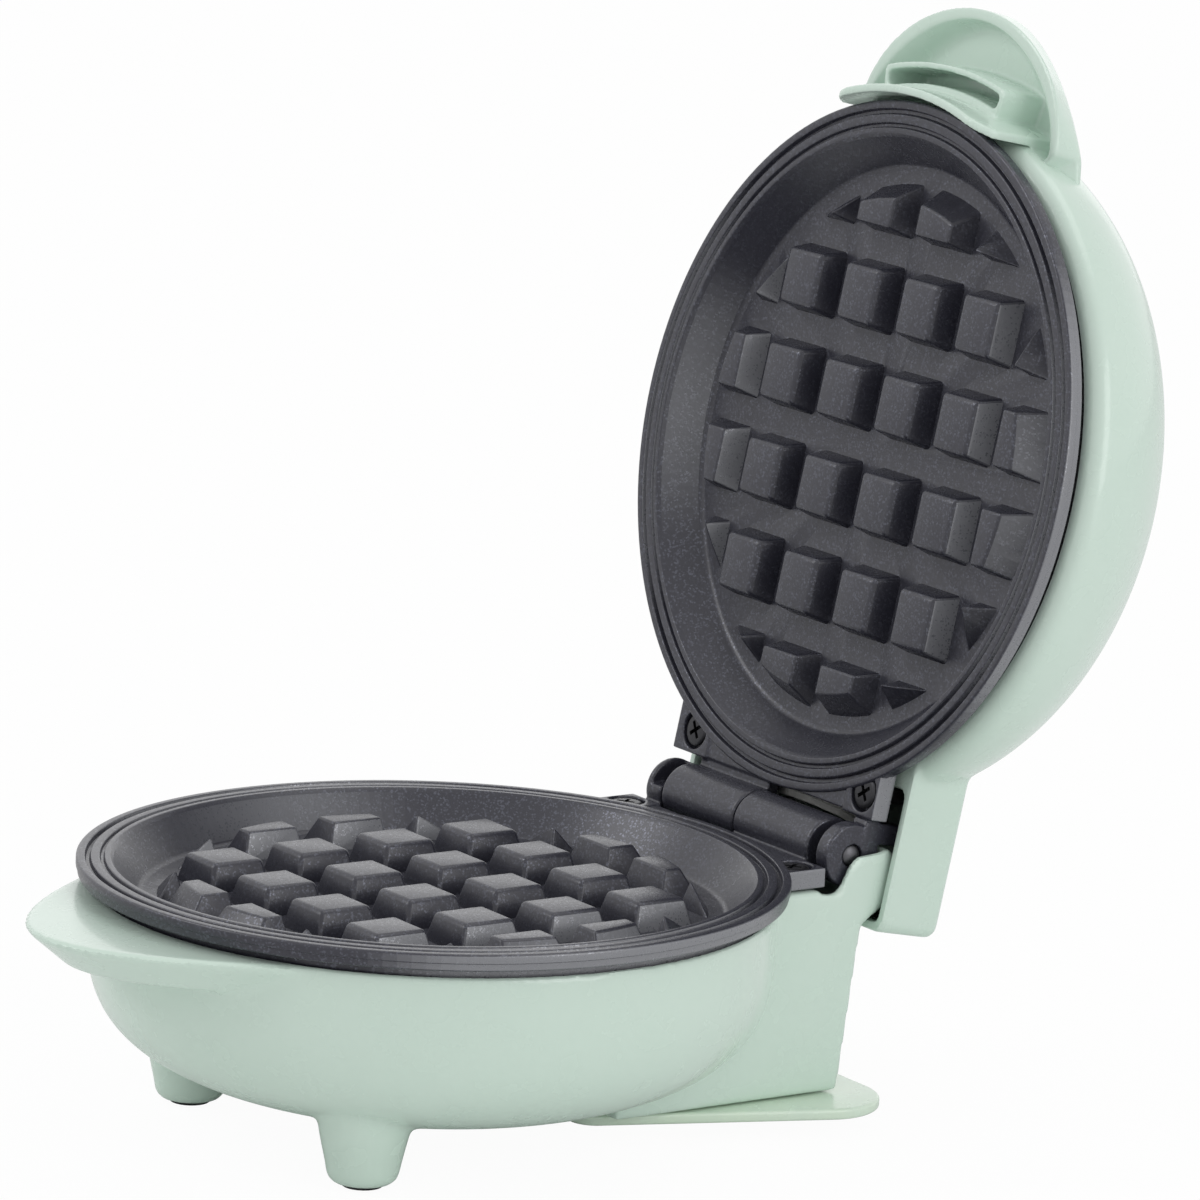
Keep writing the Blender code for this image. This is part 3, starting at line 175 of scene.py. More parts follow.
def combine(piece, tools, how, solver="EXACT"):
    for tool in tools:
        step = piece.modifiers.new(how.lower(), "BOOLEAN")
        step.operation = how
        step.solver = solver
        step.object = tool
        applyAll(piece)
        bpy.data.objects.remove(tool)
    return piece


def joinTo(piece, *tools):
    return combine(piece, tools, "UNION")


def cutFrom(piece, *tools):
    return combine(piece, tools, "DIFFERENCE")


def roundEdges(piece, width, segments=3, angle=35):
    step = piece.modifiers.new("round", "BEVEL")
    step.width = width
    step.segments = segments
    step.limit_method = "ANGLE"
    step.angle_limit = math.radians(angle)
    step.harden_normals = False
    return applyAll(piece)


def softSkin(piece, grain, rounds, strength=0.5):
    # one even skin over joined forms, then relaxed so every inner corner gets its fillet
    step = piece.modifiers.new("skin", "REMESH")
    step.mode = "VOXEL"
    step.voxel_size = grain
    step = piece.modifiers.new("relax", "SMOOTH")
    step.factor = strength
    step.iterations = rounds
    return applyAll(piece)


def shadeSmooth(piece, angle=40):
    takeOnly(piece)
    bpy.ops.object.shade_smooth_by_angle(angle=math.radians(angle))


def softCorners(corners, steps=6):
    # corners are (u, v, radius); an end corner keeps radius 0
    found = []
    count = len(corners)
    for i, (u, v, radius) in enumerate(corners):
        here = Vector((u, v))
        if radius == 0:
            found.append((u, v))
            continue
        before = (Vector(corners[i - 1][:2]) - here).normalized()
        after = (Vector(corners[(i + 1) % count][:2]) - here).normalized()
        half = before.angle(after) / 2
        middle = here + (before + after).normalized() * radius / math.sin(half)
        first = here + before * radius / math.tan(half) - middle
        last = here + after * radius / math.tan(half) - middle
        start = math.atan2(first.y, first.x)
        sweep = (math.atan2(last.y, last.x) - start + math.pi) % math.tau - math.pi
        for k in range(steps + 1):
            at = start + sweep * k / steps
            found.append((middle.x + radius * math.cos(at), middle.y + radius * math.sin(at)))
    return found


def arcPoints(radius, start, end, steps):
    turn = (end - start) / steps
    return [
        (radius * math.cos(start + turn * i), radius * math.sin(start + turn * i))
        for i in range(steps + 1)
    ]


def frontSector(inner, outer, sweep, steps=40):
    front = -math.pi / 2
    return arcPoints(outer, front - sweep, front + sweep, steps) + arcPoints(
        inner, front + sweep, front - sweep, steps
    )


def bulge(radius, height, roundOut, roundUp, steps=40):
    # a quarter of a superellipse, from its widest point to its axis
    found = []
    for i in range(steps + 1):
        at = math.pi / 2 * i / steps
        wide = max(math.cos(at), 0.0) ** (2 / roundOut)
        tall = math.sin(at) ** (2 / roundUp)
        found.append((radius * wide, height * tall))
    found[-1] = (0.0, height)
    return found


def gripFront(reach, halfWidth, depth, inset=0.0, steps=48):
    front = []
    for i in range(steps + 1):
        share = 2 * i / steps - 1
        front.append(((halfWidth - inset) * share, -reach + inset + depth * abs(share) ** 1.9))
    return front


def finishPiece(piece, material, body, nodes, angle=40):
    if body == "lid":
        piece.data.transform(swingOpen)
    piece.data.transform(toFloor)
    piece.data.materials.clear()
    piece.data.materials.append(material)
    shadeSmooth(piece, angle)
    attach(piece, body)
    if nodes:
        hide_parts(*nodes)
    return piece


# shader maths: one wire per socket, so that materials read as sums

class Wire:
    def __init__(self, tree, socket=None):
        self.tree = tree
        self.socket = socket

    def node(self, kind, settings=None, sockets=None, out=0):
        made = self.tree.nodes.new(kind)
        for key, value in (settings or {}).items():
            if key == "stops":
                ramp = made.color_ramp.elements
                while len(ramp) < len(value):
                    ramp.new(0.5)
                for stop, (place, shade) in zip(ramp, value):
                    stop.position = place
                    stop.color = shade if hasattr(shade, "__len__") else (shade, shade, shade, 1)
            else:
                setattr(made, key, value)
        for key, value in (sockets or {}).items():
            if isinstance(value, Wire):
                self.tree.links.new(value.socket, made.inputs[key])
            else:
                made.inputs[key].default_value = value
        return Wire(self.tree, made.outputs[out])

    def maths(self, how, other=0.0, swapped=False, clamp=False):
        pair = (other, self) if swapped else (self, other)
        settings = {"operation": how, "use_clamp": clamp}
        return self.node("ShaderNodeMath", settings, {0: pair[0], 1: pair[1]})

    def __add__(self, other):
        return self.maths("ADD", other)

    def __sub__(self, other):
        return self.maths("SUBTRACT", other)

    def __rsub__(self, other):
        return self.maths("SUBTRACT", other, True)

    def __mul__(self, other):
        return self.maths("MULTIPLY", other)

    __radd__ = __add__
    __rmul__ = __mul__

    def above(self, edge, soft):
        # 0 below the edge, 1 above it, with a soft step between
        return self.node(
            "ShaderNodeMapRange",
            {"interpolation_type": "SMOOTHSTEP"},
            {"Value": self, "From Min": edge - soft, "From Max": edge + soft},
        )


def startMaterial(name):
    material = bpy.data.materials.new(name)
    material.use_nodes = True
    tree = material.node_tree
    return material, Wire(tree), tree.nodes["Principled BSDF"]


def place(wire):
    return wire.node("ShaderNodeTexCoord", out="Object")


def noise(wire, at, scale, detail=2.0, roughness=0.5):
    sockets = {"Vector": at, "Scale": scale, "Detail": detail, "Roughness": roughness}
    return wire.node("ShaderNodeTexNoise", None, sockets)


def mixColours(wire, share, first, second):
    sockets = {"Factor": share, "A": first, "B": second}
    return wire.node("ShaderNodeMix", {"data_type": "RGBA"}, sockets, "Result")


def bumpFrom(wire, height, strength, depth):
    sockets = {"Height": height, "Strength": strength, "Distance": depth}
    return wire.node("ShaderNodeBump", None, sockets)


def feed(wire, shader, **sockets):
    names = {"colour": "Base Color", "roughness": "Roughness", "metal": "Metallic",
             "normal": "Normal", "coat": "Coat Weight"}
    for key, value in sockets.items():
        if isinstance(value, Wire):
            wire.tree.links.new(value.socket, shader.inputs[names[key]])
        else:
            shader.inputs[names[key]].default_value = value


greenLook = {
    "light": (0.640, 0.775, 0.690, 1),
    "deep": (0.600, 0.750, 0.655, 1),
    # pale is painted light: a lighter copy of the shell green for the upward foot plate, standing in for the light it
    # catches
    "pale": (0.720, 0.845, 0.690, 1),
    "shade": (0.030, 0.045, 0.038, 1),
    "roughness": 0.24,
    "coat": 0.35,
    "pocket": {"side": 31.9 * mm, "front": -13.4 * mm, "rear": 11.8 * mm, "deep": 18.6 * mm},
}


def pocketShade(wire, at):
    # little light gets into the hinge housing: 1 deep inside it, 0 on all that is outside
    pocket = greenLook["pocket"]
    sockets = {"Vector": at, "Center": hingeAt, "Angle": hinge["open"]}
    closed = wire.node("ShaderNodeVectorRotate", {"rotation_type": "X_AXIS"}, sockets)
    away = wire.node("ShaderNodeVectorMath", {"operation": "SUBTRACT"}, {0: closed, 1: hingeAt})
    side = wire.node("ShaderNodeSeparateXYZ", None, {"Vector": away}, "X").maths("ABSOLUTE")
    back = wire.node("ShaderNodeSeparateXYZ", None, {"Vector": away}, "Y")
    deep = wire.node("ShaderNodeSeparateXYZ", None, {"Vector": away}, "Z")
    within = (1 - side.above(pocket["side"], 0.3 * mm)) * back.above(pocket["front"], 0.3 * mm)
    within = within * (1 - back.above(pocket["rear"], 0.3 * mm)) * (1 - deep.above(pocket["deep"], 0.3 * mm))
    underWeb = (1 - back.above(-2 * mm, 1 * mm)) * (1 - side.above(21 * mm, 1 * mm))
    return within * deep.above(9 * mm, 4 * mm).maths("MAXIMUM", underWeb * deep.above(4 * mm, 0.3 * mm))


def greenPlastic(name, pale=False, housing=False):
    material, wire, shader = startMaterial(name)
    at = place(wire)
    # with pale, the lighter green paints the light that falls on the foot plate into its colour
    first = greenLook["pale"] if pale else greenLook["light"]
    second = greenLook["light"] if pale else greenLook["deep"]
    drift = noise(wire, at, 22.0, 3.0)
    flow = noise(wire, at, 160.0, 4.0)
    tone = (drift * 0.6 + flow * 0.4).above(0.5, 0.25)
    colour = mixColours(wire, tone * 0.5, first, second)
    if housing:
        colour = mixColours(wire, pocketShade(wire, at) * 0.85, colour, greenLook["shade"])
    feed(
        wire,
        shader,
        colour=colour,
        roughness=greenLook["roughness"] + flow * 0.06,
        normal=bumpFrom(wire, noise(wire, at, 950.0, 2.0) + drift * 3.0, 0.05, 0.0002),
        metal=0.0,
        coat=greenLook["coat"],
    )
    shader.inputs["Coat Roughness"].default_value = 0.08
    shader.inputs["IOR"].default_value = 1.48
    shader.inputs["Subsurface Weight"].default_value = 0.0
    return material


coatLook = {
    "dark": (0.023, 0.023, 0.033, 1),
    "body": (0.035, 0.035, 0.049, 1),
    "fleck": (0.150, 0.156, 0.190, 1),
    "bare": (0.300, 0.305, 0.325, 1),
    "grain": 3400.0,
    "tabEnd": 30.15 * mm,
}


def nonStick(name):
    # dark coating with a fine sparkle; the sawn ends of the tabs stay bare metal
    material, wire, shader = startMaterial(name)
    at = place(wire)
    grain = noise(wire, at, coatLook["grain"] * 0.6, 3.0, 0.6)
    cells = wire.node("ShaderNodeTexVoronoi", None, {"Vector": at, "Scale": coatLook["grain"]}, "Color")
    spark = wire.node("ShaderNodeSeparateColor", None, {"Color": cells}).above(0.84, 0.12)
    cloud = noise(wire, at, 60.0, 3.0)
    body = mixColours(wire, cloud * 0.6 + grain * 0.4, coatLook["dark"], coatLook["body"])
    flecked = mixColours(wire, spark * 0.55, body, coatLook["fleck"])
    along = wire.node("ShaderNodeSeparateXYZ", None, {"Vector": at}).maths("ABSOLUTE")
    facing = wire.node("ShaderNodeNewGeometry", out="True Normal")
    sideways = wire.node("ShaderNodeSeparateXYZ", None, {"Vector": facing}).maths("ABSOLUTE")
    bare = along.above(coatLook["tabEnd"], 0.08 * mm) * sideways.above(0.8, 0.1)
    feed(
        wire,
        shader,
        colour=mixColours(wire, bare * 0.7, flecked, coatLook["bare"]),
        roughness=0.30 - spark * 0.06 + grain * 0.05,
        metal=0.10 + spark * 0.45,
        normal=bumpFrom(wire, grain + spark * 0.5, 0.07, 0.00006),
    )
    shader.inputs["IOR"].default_value = 1.55
    return material


def plainMetal(name, colour, roughness, metal=1.0, grain=900.0):
    material, wire, shader = startMaterial(name)
    at = place(wire)
    rub = noise(wire, at, grain, 4.0, 0.6)
    patch = noise(wire, at, 120.0, 2.0)
    darker = tuple(0.72 * c for c in colour[:3]) + (1,)
    feed(
        wire,
        shader,
        colour=mixColours(wire, patch, colour, darker),
        roughness=roughness + rub * 0.15,
        metal=metal,
        normal=bumpFrom(wire, rub, 0.12, 0.0001),
    )
    return material


def plainSoft(name, colour, roughness, grain=1400.0, depth=0.00015):
    material, wire, shader = startMaterial(name)
    at = place(wire)
    pores = noise(wire, at, grain, 3.0, 0.6)
    darker = tuple(0.7 * c for c in colour[:3]) + (1,)
    feed(
        wire,
        shader,
        colour=mixColours(wire, pores, darker, colour),
        roughness=roughness - pores * 0.1,
        metal=0.0,
        normal=bumpFrom(wire, pores, 0.3, depth),
    )
    return material


shellGreen = greenPlastic("shell_green")
lidGreen = greenPlastic("lid_green", housing=True)
# foot plate: the same green, painted paler for the light its upward face catches
plateGreen = greenPlastic("foot_plate_green", pale=True)
gridCoat = nonStick("grid_coating")
pinSteel = plainMetal("pin_steel", (0.13, 0.13, 0.14, 1), 0.36)
screwBlack = plainMetal("screw_black", (0.050, 0.050, 0.055, 1), 0.30, 0.85)
tubeSteel = plainMetal("heater_tube", (0.36, 0.35, 0.34, 1), 0.35)
pressedSheet = plainMetal("shield_sheet", (0.62, 0.63, 0.65, 1), 0.32)
zincScrew = plainMetal("zinc_screw", (0.50, 0.50, 0.50, 1), 0.3)
footRubber = plainSoft("foot_rubber", (0.022, 0.022, 0.025, 1), 0.85)
reliefRubber = plainSoft("relief_rubber", (0.026, 0.026, 0.028, 1), 0.75)
ceramicCase = plainSoft("ceramic_case", (0.66, 0.65, 0.60, 1), 0.6)
creamPlastic = plainSoft("cream_plastic", (0.72, 0.68, 0.56, 1), 0.5, 700.0)
sleeveCloth = plainSoft("sleeve_braid", (0.62, 0.62, 0.60, 1), 0.85, 2600.0, 0.0003)
print("materials ready")


# camera, solved from the two plates and the stud grid of the photograph

cameraPlace = {
    "focal": 7341.938,
    "azimuth": 0.970904,
    "elevation": 0.207623,
    "roll": 0.045815,
    "distance": 1189.074 * 1.08 * mm,
    "shift": (-26.8149 * 1.08 * mm, -42.6351 * 1.08 * mm),
}


def addCamera():
    turn, lift, roll = (cameraPlace[k] for k in ("azimuth", "elevation", "roll"))
    back = Vector((math.sin(turn) * math.cos(lift), -math.cos(turn) * math.cos(lift), math.sin(lift)))
    level = Vector((math.cos(turn), math.sin(turn), 0))
    upright = back.cross(level)
    right = math.cos(roll) * level + math.sin(roll) * upright
    up = -math.sin(roll) * level + math.cos(roll) * upright
    aim = Matrix((right, up, back)).transposed()
    offset = Vector((*cameraPlace["shift"], -cameraPlace["distance"]))
    data = bpy.data.cameras.new("camera")
    data.sensor_width = 36.0
    data.lens = cameraPlace["focal"] / 1200 * 36.0
    data.clip_start = 0.05
    data.clip_end = 50.0
    camera = bpy.data.objects.new("camera", data)
    bpy.context.scene.collection.objects.link(camera)
    rimCentre = toFloor @ Vector((0, 0, lowerRim))
    camera.matrix_world = Matrix.Translation(rimCentre + aim @ -offset) @ aim.to_4x4()
    bpy.context.scene.camera = camera


addCamera()


# lower shell: bowl, tower with its two ears, front lip and front feet

bowl = {"radius": 60.5, "height": 33.9, "edge": lowerRim - 4.6 * mm, "shoulder": 1.9, "wall": 2.2}
tower = {"half": 30.5, "floor": 41.4, "floorRear": 67.6, "neck": 70.6, "rear": 77.6,
         "ear": 1.9, "shoulder": 4.1, "wall": 1.7}
lip = {"reach": 79.9, "half": 36.6, "depth": 31.0, "thick": 6.6}
foot = {"x": 28.8, "y": -30.8, "top": 7.8, "bottom": 6.2, "bottomZ": 0.6}
floorZ = lowerRim - 46.8 * mm


def bowlProfile(inset):
    top = bowl["edge"]
    start = top - bowl["shoulder"] * mm
    curve = bulge((bowl["radius"] - inset) * mm, (bowl["height"] - inset) * mm, 2.54, 3.75)
    body = [(r, start - h) for r, h in curve]
    if inset:
        mouth = 59.8 * mm
        return [(0, top + 2 * mm), (mouth, top + 2 * mm), (mouth, top - 0.8 * mm)] + body
    outer = bowl["radius"] * mm
    return [(0, top), (outer - 0.4 * mm, top), (outer - 0.12 * mm, top - 0.12 * mm), (outer, top - 0.5 * mm)] + body


def makeLowerShell():
    z = lowerRim / mm
    notch = z - tower["shoulder"] - 1.0
    side = [
        (20.0, z - tower["floor"], 0),
        (tower["floorRear"], z - tower["floor"], 0),
        (tower["neck"] + 0.2, z - 14.5, 0),
        (tower["neck"] + 0.6, z - 11.6, 1.6),
        (tower["rear"] - 0.2, z - 7.6, 3.2),
        (tower["rear"], z + tower["ear"], 1.2),
        (68.9, z + tower["ear"] - 1.0, 2.6),
        (67.0, z - 2.6, 2.0),
        (65.7, notch, 1.0),
        (62.6, notch, 0.5),
        (61.5, z - tower["shoulder"], 0.4),
        (20.0, z - tower["shoulder"], 0),
    ]
    outline = [(u * mm, v * mm) for u, v in softCorners(side)]
    body = addSlab("tower", outline, -tower["half"] * mm, tower["half"] * mm, sideways=True)
    roundEdges(body, 0.7 * mm, 3, 60)
    inner = tower["half"] - tower["wall"]
    floor = z - tower["floor"] + 2.1
    inside = [
        (38.0, floor, 0),
        (tower["floorRear"] - 2.1, floor, 0),
        (tower["neck"] - 2.1, z - 14.5, 0),
        (tower["neck"] - 2.1, z - 10.6, 0),
        (tower["rear"] - 3.2, z - 6.8, 0),
        (tower["rear"] - 1.6, z - 5.0, 0),
        (tower["rear"] - 1.6, 12.0, 0),
        (61.6, 12.0, 0),
        (61.6, z - tower["shoulder"] - 2.1, 0),
        (38.0, z - tower["shoulder"] - 2.1, 0),
    ]
    hollow = addSlab("tower_hollow", [(u * mm, v * mm) for u, v, _ in inside], -inner * mm, inner * mm, sideways=True)

    top = bowl["edge"] - 0.1 * mm
    front = gripFront(lip["reach"] * mm, lip["half"] * mm, lip["depth"] * mm)
    outline = front + [(lip["half"] * mm, -30 * mm), (-lip["half"] * mm, -30 * mm)]
    ledge = addSlab("lip", outline, top - lip["thick"] * mm, top)
    startEdit(ledge, "VERT")
    mesh = bmesh.from_edit_mesh(ledge.data)
    bpy.ops.mesh.select_all(action="DESELECT")
    for vertex in mesh.verts:
        if vertex.co.z < top - 0.5 * lip["thick"] * mm:
            vertex.select_set(True)
    bmesh.update_edit_mesh(ledge.data)
    bpy.ops.transform.resize(value=(0.90, 0.90, 1), center_override=(0, 0, top))
    endEdit()
    roundEdges(ledge, 2.3 * mm, 5, 50)

    shell = addTurned("lower_shell_skin", bowlProfile(0))
    under = bowl["edge"] - (bowl["shoulder"] + bowl["height"]) * mm
    low = floorZ + foot["bottomZ"] * mm
    legs = []
    for side in (-1, 1):
        profile = [
            (0, under + 8 * mm),
            ((foot["top"] + 0.6) * mm, under + 8 * mm),
            (foot["top"] * mm, under + 3 * mm),
            ((foot["bottom"] + 0.35) * mm, low + 3.4 * mm),
            ((foot["bottom"] + 0.05) * mm, low + 1.6 * mm),
            ((foot["bottom"] - 0.45) * mm, low + 0.55 * mm),
            ((foot["bottom"] - 1.5) * mm, low),
            (0, low),
        ]
        legs.append(addTurned("leg", profile, 48, (side * foot["x"] * mm, foot["y"] * mm, 0)))
    joinTo(shell, body, ledge, *legs)
    cutFrom(shell, hollow)
    softSkin(shell, 0.7 * mm, 7)
    cutFrom(shell, addTurned("bowl_hollow", bowlProfile(bowl["wall"]), 128))
    for side in (-1, 1):
        spot = Vector((side * foot["x"] * mm, foot["y"] * mm, 0))
        low = Vector((0, 0, floorZ - 1 * mm))
        cutFrom(shell, addRod("pad_seat", 4.1 * mm, spot + low, spot + Vector((0, 0, floorZ + 2.9 * mm))))
    return shell


finishPiece(makeLowerShell(), shellGreen, "base", ["lower_shell"])
print("lower shell ready")


# lid shell: dome with the hinge housing

dome = {"radius": 63.4, "height": 36.5, "edge": upperRim + 5.4 * mm, "shoulder": 3.8, "wall": 2.2}
housing = {"half": 33.0, "rear": 82.2, "front": 40.0, "height": 13.2, "wall": 1.8}


def domeProfile(inset):
    start = dome["edge"] + dome["shoulder"] * mm
    curve = bulge((dome["radius"] - inset) * mm, (dome["height"] - inset) * mm, 2.13, 1.98)
    body = [(r, start + h) for r, h in reversed(curve)]
    edge = dome["edge"]
    if inset:
        mouth = 59.8 * mm
        return body + [(mouth, edge + 1.6 * mm), (mouth, edge - 2 * mm), (0, edge - 2 * mm)]
    outer = dome["radius"] * mm
    return body + [
        (outer - 0.15 * mm, edge + 2.6 * mm),
        (outer - 0.7 * mm, edge + 1.5 * mm),
        (outer - 1.9 * mm, edge + 0.35 * mm),
        (outer - 2.6 * mm, edge),
        (0, edge),
    ]


def makeLidShell():
    shell = addTurned("lid_shell_skin", domeProfile(0))
    edge = dome["edge"]
    top = edge + housing["height"] * mm
    half = housing["half"] * mm
    body = addBlock("housing", (-half, housing["front"] * mm, edge), (half, housing["rear"] * mm, top))
    startEdit(body, "EDGE")
    pickEdges(body, lambda a, b: abs(a.z - b.z) > 1 * mm)
    bpy.ops.mesh.bevel(offset=2.4 * mm, segments=5, affect="EDGES")
    pickEdges(body, lambda a, b: min(a.z, b.z) > top - 0.1 * mm)
    bpy.ops.mesh.bevel(offset=1.6 * mm, segments=4, affect="EDGES")
    endEdit()
    wall = housing["wall"] * mm
    inner = half - wall
    hollow = addBlock("housing_hollow", (-inner, 56.6 * mm, edge - 4 * mm), (inner, housing["rear"] * mm - wall, top - wall))
    startEdit(hollow, "EDGE")
    pickEdges(hollow, lambda a, b: abs(a.z - b.z) > 1 * mm)
    bpy.ops.mesh.bevel(offset=1.2 * mm, segments=3, affect="EDGES")
    endEdit()
    well = addBlock("housing_well", (-inner + 0.2 * mm, 49 * mm, edge + 2.8 * mm), (inner - 0.2 * mm, 62 * mm, top - wall - 0.2 * mm))
    joinTo(shell, body)
    cutFrom(shell, hollow, well)
    softSkin(shell, 0.7 * mm, 5)
    cutFrom(shell, addTurned("dome_hollow", domeProfile(dome["wall"]), 128))
    return shell


finishPiece(makeLidShell(), lidGreen, "lid", ["lid_shell"])
print("lid shell ready")


# hollow front grip of the lid, with the tongue over the plate rims and the slotted loop

grip = {"half": 29.5, "middle": 59.0, "depth": 22.2, "foot": 3.2, "near": 3.4,
        "topHalf": 30.4, "topReach": 80.9, "topDepth": 22.4, "height": 10.2, "wall": 2.0,
        "tongue": (63.5, 65.0), "tongueHalf": 22.9, "tongueDrop": 8.8, "tongueCorner": 5.0,
        "loop": (64.4, 70.2), "loopSweep": 15.0, "loopDrop": 1.2, "loopWall": 1.15}


def gripArch(name, inset, low, high):
    # half an ellipse at the free edge, a more pointed arch on top, ruled walls between them
    half = (grip["half"] - inset) * mm
    depth = (grip["depth"] - inset) * mm
    middle = -grip["middle"] * mm
    front = []
    for i in range(65):
        at = math.pi * i / 64
        front.append((half * math.cos(at), middle - depth * math.sin(at)))
    foot = half - grip["foot"] * mm
    ends = middle + 4.0 * mm
    arch = addSlab(name, front + [(-foot, ends), (-foot, -42 * mm), (foot, -42 * mm), (foot, ends)], low, high)
    topHalf = (grip["topHalf"] - inset) * mm
    reach = (grip["topReach"] - inset) * mm
    for vertex in arch.data.vertices:
        at = vertex.co
        if at.z < (low + high) / 2:
            continue
        if at.y > middle + 1 * mm:
            at.x = math.copysign(topHalf + 1 * mm, at.x)
        else:
            share = at.x / half
            at.x = topHalf * share
            at.y = grip["topDepth"] * mm * abs(share) ** 1.9 - reach
    return arch


def roundTop(piece, level, width, segments):
    startEdit(piece, "EDGE")
    pickEdges(piece, lambda a, b: min(a.z, b.z) > level - 0.1 * mm)
    bpy.ops.mesh.bevel(offset=width, segments=segments, affect="EDGES")
    endEdit()


def makeTongue(edge, top):
    inner, outer = (r * mm for r in grip["tongue"])
    low = edge - grip["tongueDrop"] * mm
    half, corner = grip["tongueHalf"] * mm, grip["tongueCorner"] * mm
    tongue = addSlab("grip_tongue", frontSector(inner, outer, math.radians(27), 60), low - 1 * mm, top - 0.9 * mm)
    corners = [(-half, low, corner), (half, low, corner), (half, top + 4 * mm, 0), (-half, top + 4 * mm, 0)]
    front = addSlab("tongue_front", softCorners(corners, 10), 50 * mm, 75 * mm)
    front.data.transform(Matrix.Rotation(math.pi / 2, 4, "X"))
    return combine(tongue, [front], "INTERSECT")


def makeGrip():
    edge = dome["edge"]
    top = edge + grip["height"] * mm
    near = edge + grip["near"] * mm
    wall = grip["wall"] * mm
    shroud = gripArch("grip_shroud", 0, near, top)
    roundTop(shroud, top, 1.7 * mm, 6)
    behind = addRod("grip_back", 61.4 * mm, (0, 0, edge - 14 * mm), (0, 0, top + 8 * mm), 128)
    recess = gripArch("grip_recess", grip["wall"], near - 1 * mm, top - wall)
    roundTop(recess, top - wall, 1.8 * mm, 6)
    stop = addRod("recess_stop", 63.3 * mm, (0, 0, edge - 5 * mm), (0, 0, top + 5 * mm), 128)
    combine(recess, [stop], "DIFFERENCE", "MANIFOLD")
    combine(shroud, [behind, recess], "DIFFERENCE", "MANIFOLD")

    inner, outer = (r * mm for r in grip["loop"])
    sweep = math.radians(grip["loopSweep"])
    low = edge - grip["loopDrop"] * mm
    loop = addSlab("grip_loop", frontSector(inner, outer, sweep), low, top - 1.1 * mm)
    startEdit(loop, "EDGE")
    pickEdges(loop, lambda a, b: abs(a.z - b.z) > 1 * mm and min(Vector(a.xy).length, Vector(b.xy).length) > outer - 0.1 * mm
              and abs(abs(math.atan2(a.x, -a.y)) - sweep) < 0.01)
    bpy.ops.mesh.bevel(offset=2.6 * mm, segments=6, affect="EDGES")
    endEdit()
    thin = grip["loopWall"] * mm
    slot = addSlab("grip_slot", frontSector(66.3 * mm, outer - thin, sweep - thin / outer), low - 1 * mm, top - 2.2 * mm)
    startEdit(slot, "EDGE")
    pickEdges(slot, lambda a, b: abs(a.z - b.z) > 1 * mm and abs(abs(math.atan2(a.x, -a.y)) - sweep + thin / outer) < 0.01)
    bpy.ops.mesh.bevel(offset=1.2 * mm, segments=4, affect="EDGES")
    endEdit()
    combine(shroud, [makeTongue(edge, top), loop], "UNION", "MANIFOLD")
    combine(shroud, [slot], "DIFFERENCE", "MANIFOLD")
    softSkin(shroud, 0.3 * mm, 11)
    return shroud


finishPiece(makeGrip(), shellGreen, "lid", [])
print("grip ready")


# cast grid plates: a turned dish, a field of tapered studs and the hinge knuckles

dish = {"rim": 62.6, "floor": 51.5, "depth": 7.0, "under": 10.2}
stud = {"pitch": 17.8, "top": 10.0, "base": 12.5, "recess": 2.0, "row": 6, "round": 0.9,
        "fieldTop": 45.0, "fieldBase": 48.3}
knuckle = {"barrel": 5.5, "ring": 5.75, "thick": 3.7, "collar": (-28.6, -23.9), "lidBarrel": (-23.5, -1.1),
           "baseBarrel": (-0.7, 22.1), "lidRing": (25.2, 28.6), "bore": 2.05}


def dishProfile():
    corners = [
        (0, -7.0, 0), (51.5, -7.0, 1.6), (56.0, -0.7, 0.8), (56.6, 0, 0.35), (57.55, 0, 0.25),
        (57.75, -0.75, 0.1), (58.25, -0.75, 0.1), (58.45, -0.05, 0.25), (60.0, -0.05, 0.25),
        (60.2, -0.95, 0.12), (60.85, -0.95, 0.12), (61.05, 0, 0.25), (62.6, 0, 0.45),
        (62.6, -1.55, 0.15), (62.3, -1.65, 0.1), (62.3, -3.0, 0.4), (59.2, -3.0, 0.1),
        (59.2, -5.3, 0.2), (57.2, -6.0, 0.2), (57.2, -10.2, 0.4), (0, -10.2, 0),
    ]
    return [(u * mm, v * mm) for u, v in softCorners(corners, 4)]


